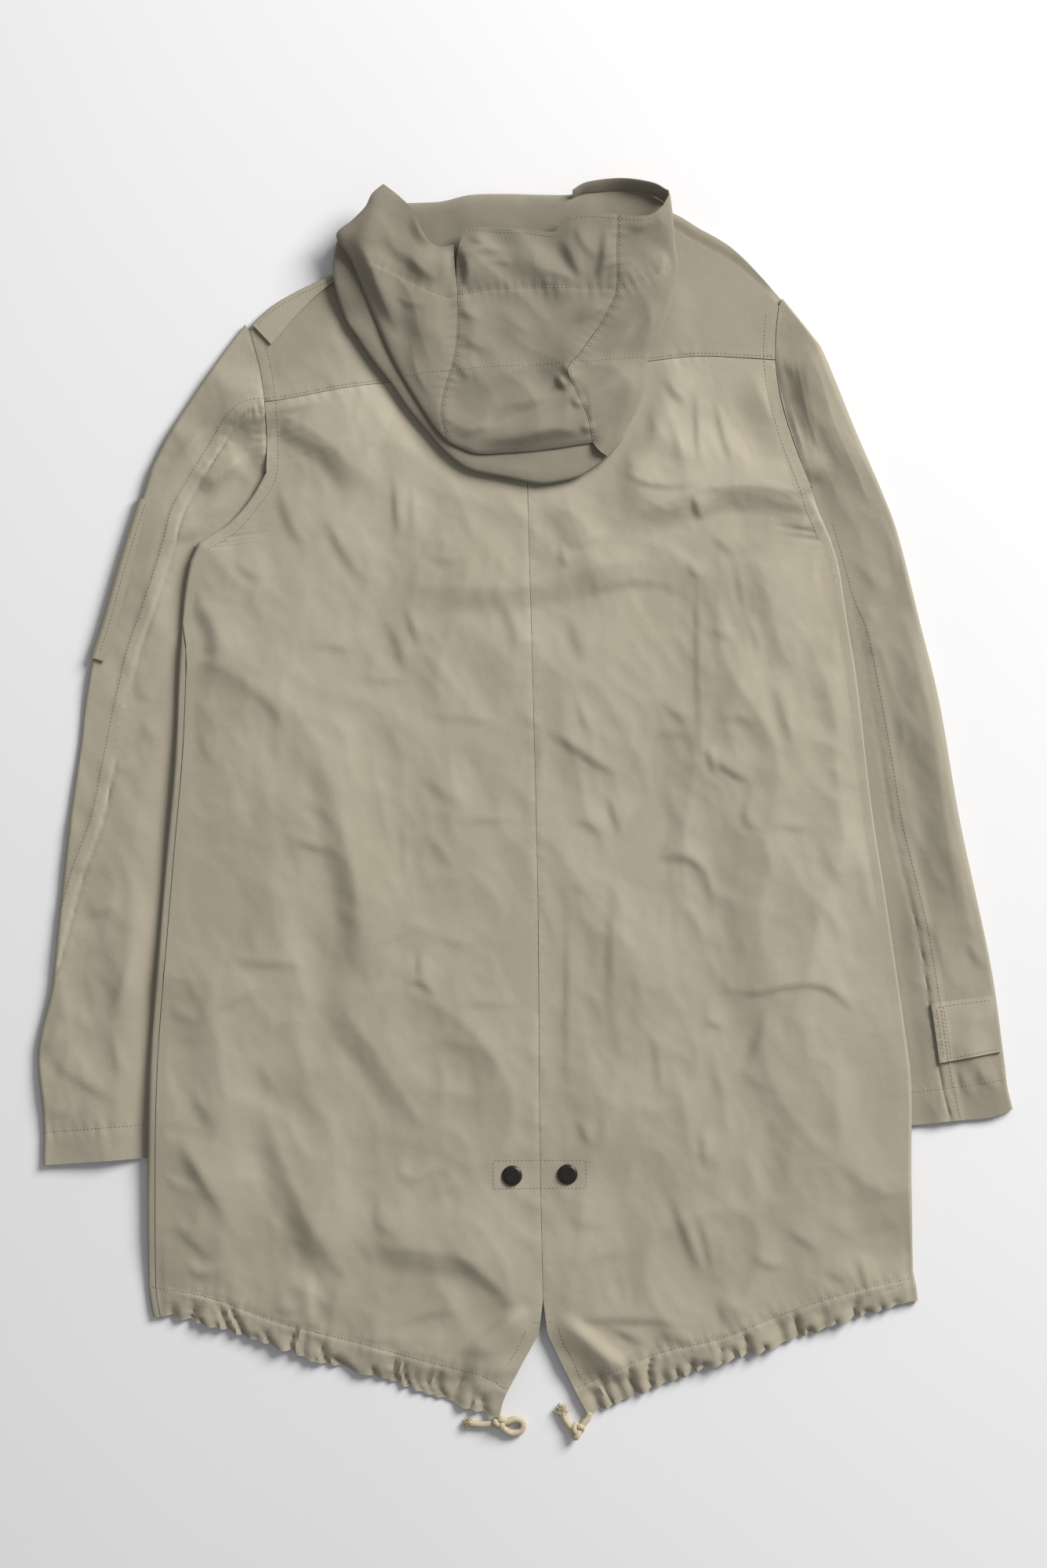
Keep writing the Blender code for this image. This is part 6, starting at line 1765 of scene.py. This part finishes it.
# %% [markdown]
# ## Snaps
#
# Two domed snap caps sit on the back above the slit. When the hem is turned up they hold the
# fishtail. A cap is turned from its half section: a rolled rim, a step inside it that catches
# the light, and a dome with a shallow dimple.

# %% Snaps
Snap = namedtuple("Snap", "name x y")
SNAPS = (Snap("snap_left", -10.5, -302.5), Snap("snap_right", 34.0, -301.5))
SNAP_RADIUS, SNAP_RISE, SNAP_STEPS = 8.1, 2.2, 64
SNAP_SECTION = ((0.0, 0.90), (0.3, 0.93), (0.55, 0.99), (0.7, 1.0), (0.82, 0.93), (0.88, 0.8),
                (0.9, 0.66), (0.93, 0.66), (0.97, 0.56), (1.0, 0.36), (0.99, 0.12), (0.94, 0.0),
                (0.0, 0.0))


def snap_cap(snap):
    """A pressed cap, turned from its half section and set on the back."""
    bm = bmesh.new()
    points = [bm.verts.new((r * SNAP_RADIUS * MM, 0, h * SNAP_RISE * MM))
              for r, h in SNAP_SECTION]
    for a, b in zip(points, points[1:]):
        bm.edges.new((a, b))
    bmesh.ops.spin(bm, geom=bm.verts[:] + bm.edges[:], axis=(0, 0, 1), cent=(0, 0, 0),
                   angle=2 * math.pi, steps=SNAP_STEPS, use_merge=True)
    bmesh.ops.remove_doubles(bm, verts=bm.verts, dist=1e-7)
    bmesh.ops.recalc_face_normals(bm, faces=bm.faces)
    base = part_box(snap.name)[0].z
    bmesh.ops.translate(bm, verts=bm.verts, vec=spot(snap.x, snap.y, base / MM))
    piece = shown(snap.name + "_cap", bm, SNAP_LACQUER)
    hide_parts(snap.name)
    return piece


for snap in SNAPS:
    print(snap_cap(snap).name, "stands", round(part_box(snap.name)[1].z * 1000, 1), "mm high")

# %% [markdown]
# ## Topstitching
#
# Most seams of the coat are held down by a row of stitches beside them. A stitch is a small
# rounded grain of thread. Each is dropped onto the cloth below it, so the rows follow the
# creases. They differ a little in length, since no sewing machine is perfect on washed cloth.

# %% The stitcher
STITCH_STEP, STITCH_LONG, STITCH_WIDE = 3.1, 2.4, 0.7
UNEVEN = (0.88, 1.12)       # least and most of a stitch's length
STITCH_LIFT = 0.08          # from the cloth up to a stitch's middle
SURFACES = []


def surfaces():
    """What a stitch can land on: each cloth with its thickness."""
    if not SURFACES:
        graph = bpy.context.evaluated_depsgraph_get()
        SURFACES.extend(BVHTree.FromObject(piece, graph) for piece in CLOTHS)
    return SURFACES


def landing(x, y):
    """The highest cloth under a point, and its normal."""
    hits = [tree.ray_cast(spot(x, y, 90.0), Vector((0, 0, -1))) for tree in surfaces()]
    hits = [(place, normal) for place, normal, _, _ in hits if place]
    return max(hits, key=lambda hit: hit[0].z) if hits else (None, None)


def topstitch(name, lines, seed):
    """Rows of stitches along lines in millimetres."""
    rng = np.random.default_rng(seed)
    bm = bmesh.new()
    for points in lines:
        line = smooth(points) if len(points) < 40 else np.asarray(points)
        length = length_of(line)
        along_line = (np.arange(int(length / STITCH_STEP)) + 0.5) * STITCH_STEP / length
        spots = at(line, along_line)
        ahead = at(line, np.minimum(along_line + 1.0 / length, 1.0)) - spots
        for (x, y), way in zip(spots, ahead):
            place, normal = landing(x, y)
            if place is None or np.hypot(*way) < 1e-6:
                continue
            along = Vector((way[0], way[1], 0)).normalized()
            along = (along - normal * along.dot(normal)).normalized()
            across = normal.cross(along)
            size = rng.uniform(*UNEVEN)
            turn = Matrix((along * STITCH_LONG * size, across * STITCH_WIDE,
                           normal * STITCH_WIDE * 0.8)).transposed().to_4x4()
            lift = Matrix.Translation(place + normal * STITCH_LIFT * MM)
            bmesh.ops.create_icosphere(bm, subdivisions=1, radius=MM / 2, matrix=lift @ turn)
    piece = shown(name, bm, THREAD_SHADED)
    print(name, len(piece.data.polygons) // 20, "stitches")
    return piece


# %% Rows of the body
SLIT_FACINGS = (((1, -426.5), (-6.5, -442), (-14, -455)),
                ((26.8, -423.4), (31.2, -436), (38.8, -451), (45.7, -468.7)))
SNAP_PATCH = ((-25.5, -290.5), (49, -290.0), (49, -312.5), (-25.5, -313.2), (-25.5, -290.5))
PATCH_SIDES = [np.array(side_line, dtype=float) for side_line in zip(SNAP_PATCH, SNAP_PATCH[1:])]
BAR_TACK = ((6.5, -420.4), (24.5, -420.0))

topstitch("stitches_armholes", [aside(ARMHOLES[0], 9.0)[3:], aside(ARMHOLES[1], -9.0)[3:]], 1)
topstitch("stitches_yoke", [aside(line, 2.5) for line in YOKE_SEAMS], 2)
topstitch("stitches_hem", HEM_CASING, 3)
topstitch("stitches_slit", SLIT_FACINGS + (BAR_TACK,), 4)
topstitch("stitches_snap_patch", PATCH_SIDES, 5)

# %% Rows of the sleeves
POCKET_EDGE = at(SLEEVE_RIM, np.linspace(0.05, 0.27, 50))
topstitch("stitches_sleeve_seams", [aside(SLEEVE_SEAMS[0], -9.5), aside(SLEEVE_SEAMS[1], 8.0)], 6)
topstitch("stitches_cuffs", CUFF_HEMS, 7)
topstitch("stitches_pocket", [aside(POCKET_EDGE, 4.0)], 13)
STRAP_ROWS = (((330.5, -167), (375, -161)), ((337, -209), (380, -200.5)),
              ((335.5, -166), (342, -209)), ((330, -168), (336.5, -210)))
topstitch("stitches_cuff_strap", [np.array(row, dtype=float) for row in STRAP_ROWS], 8)
topstitch("stitches_epaulette", [aside(at(smooth(SHOULDER_LEFT), np.linspace(0.05, 0.6, 44)),
                                       -4.0)], 9)

# %% Rows of the hood
topstitch("stitches_hood_seams", [aside(HOOD_SEAMS[0], 2.2), aside(HOOD_SEAMS[1], 2.2)], 10)
topstitch("stitches_hood_facing", [HOOD_FACING], 11)
topstitch("stitches_hood_lip", [aside(smooth(line), -3.0)
                                for line in (HOOD_LIP_CROWN, HOOD_LIP_RIGHT[:3])], 12)

# %% Update the view layer
bpy.context.view_layer.update()
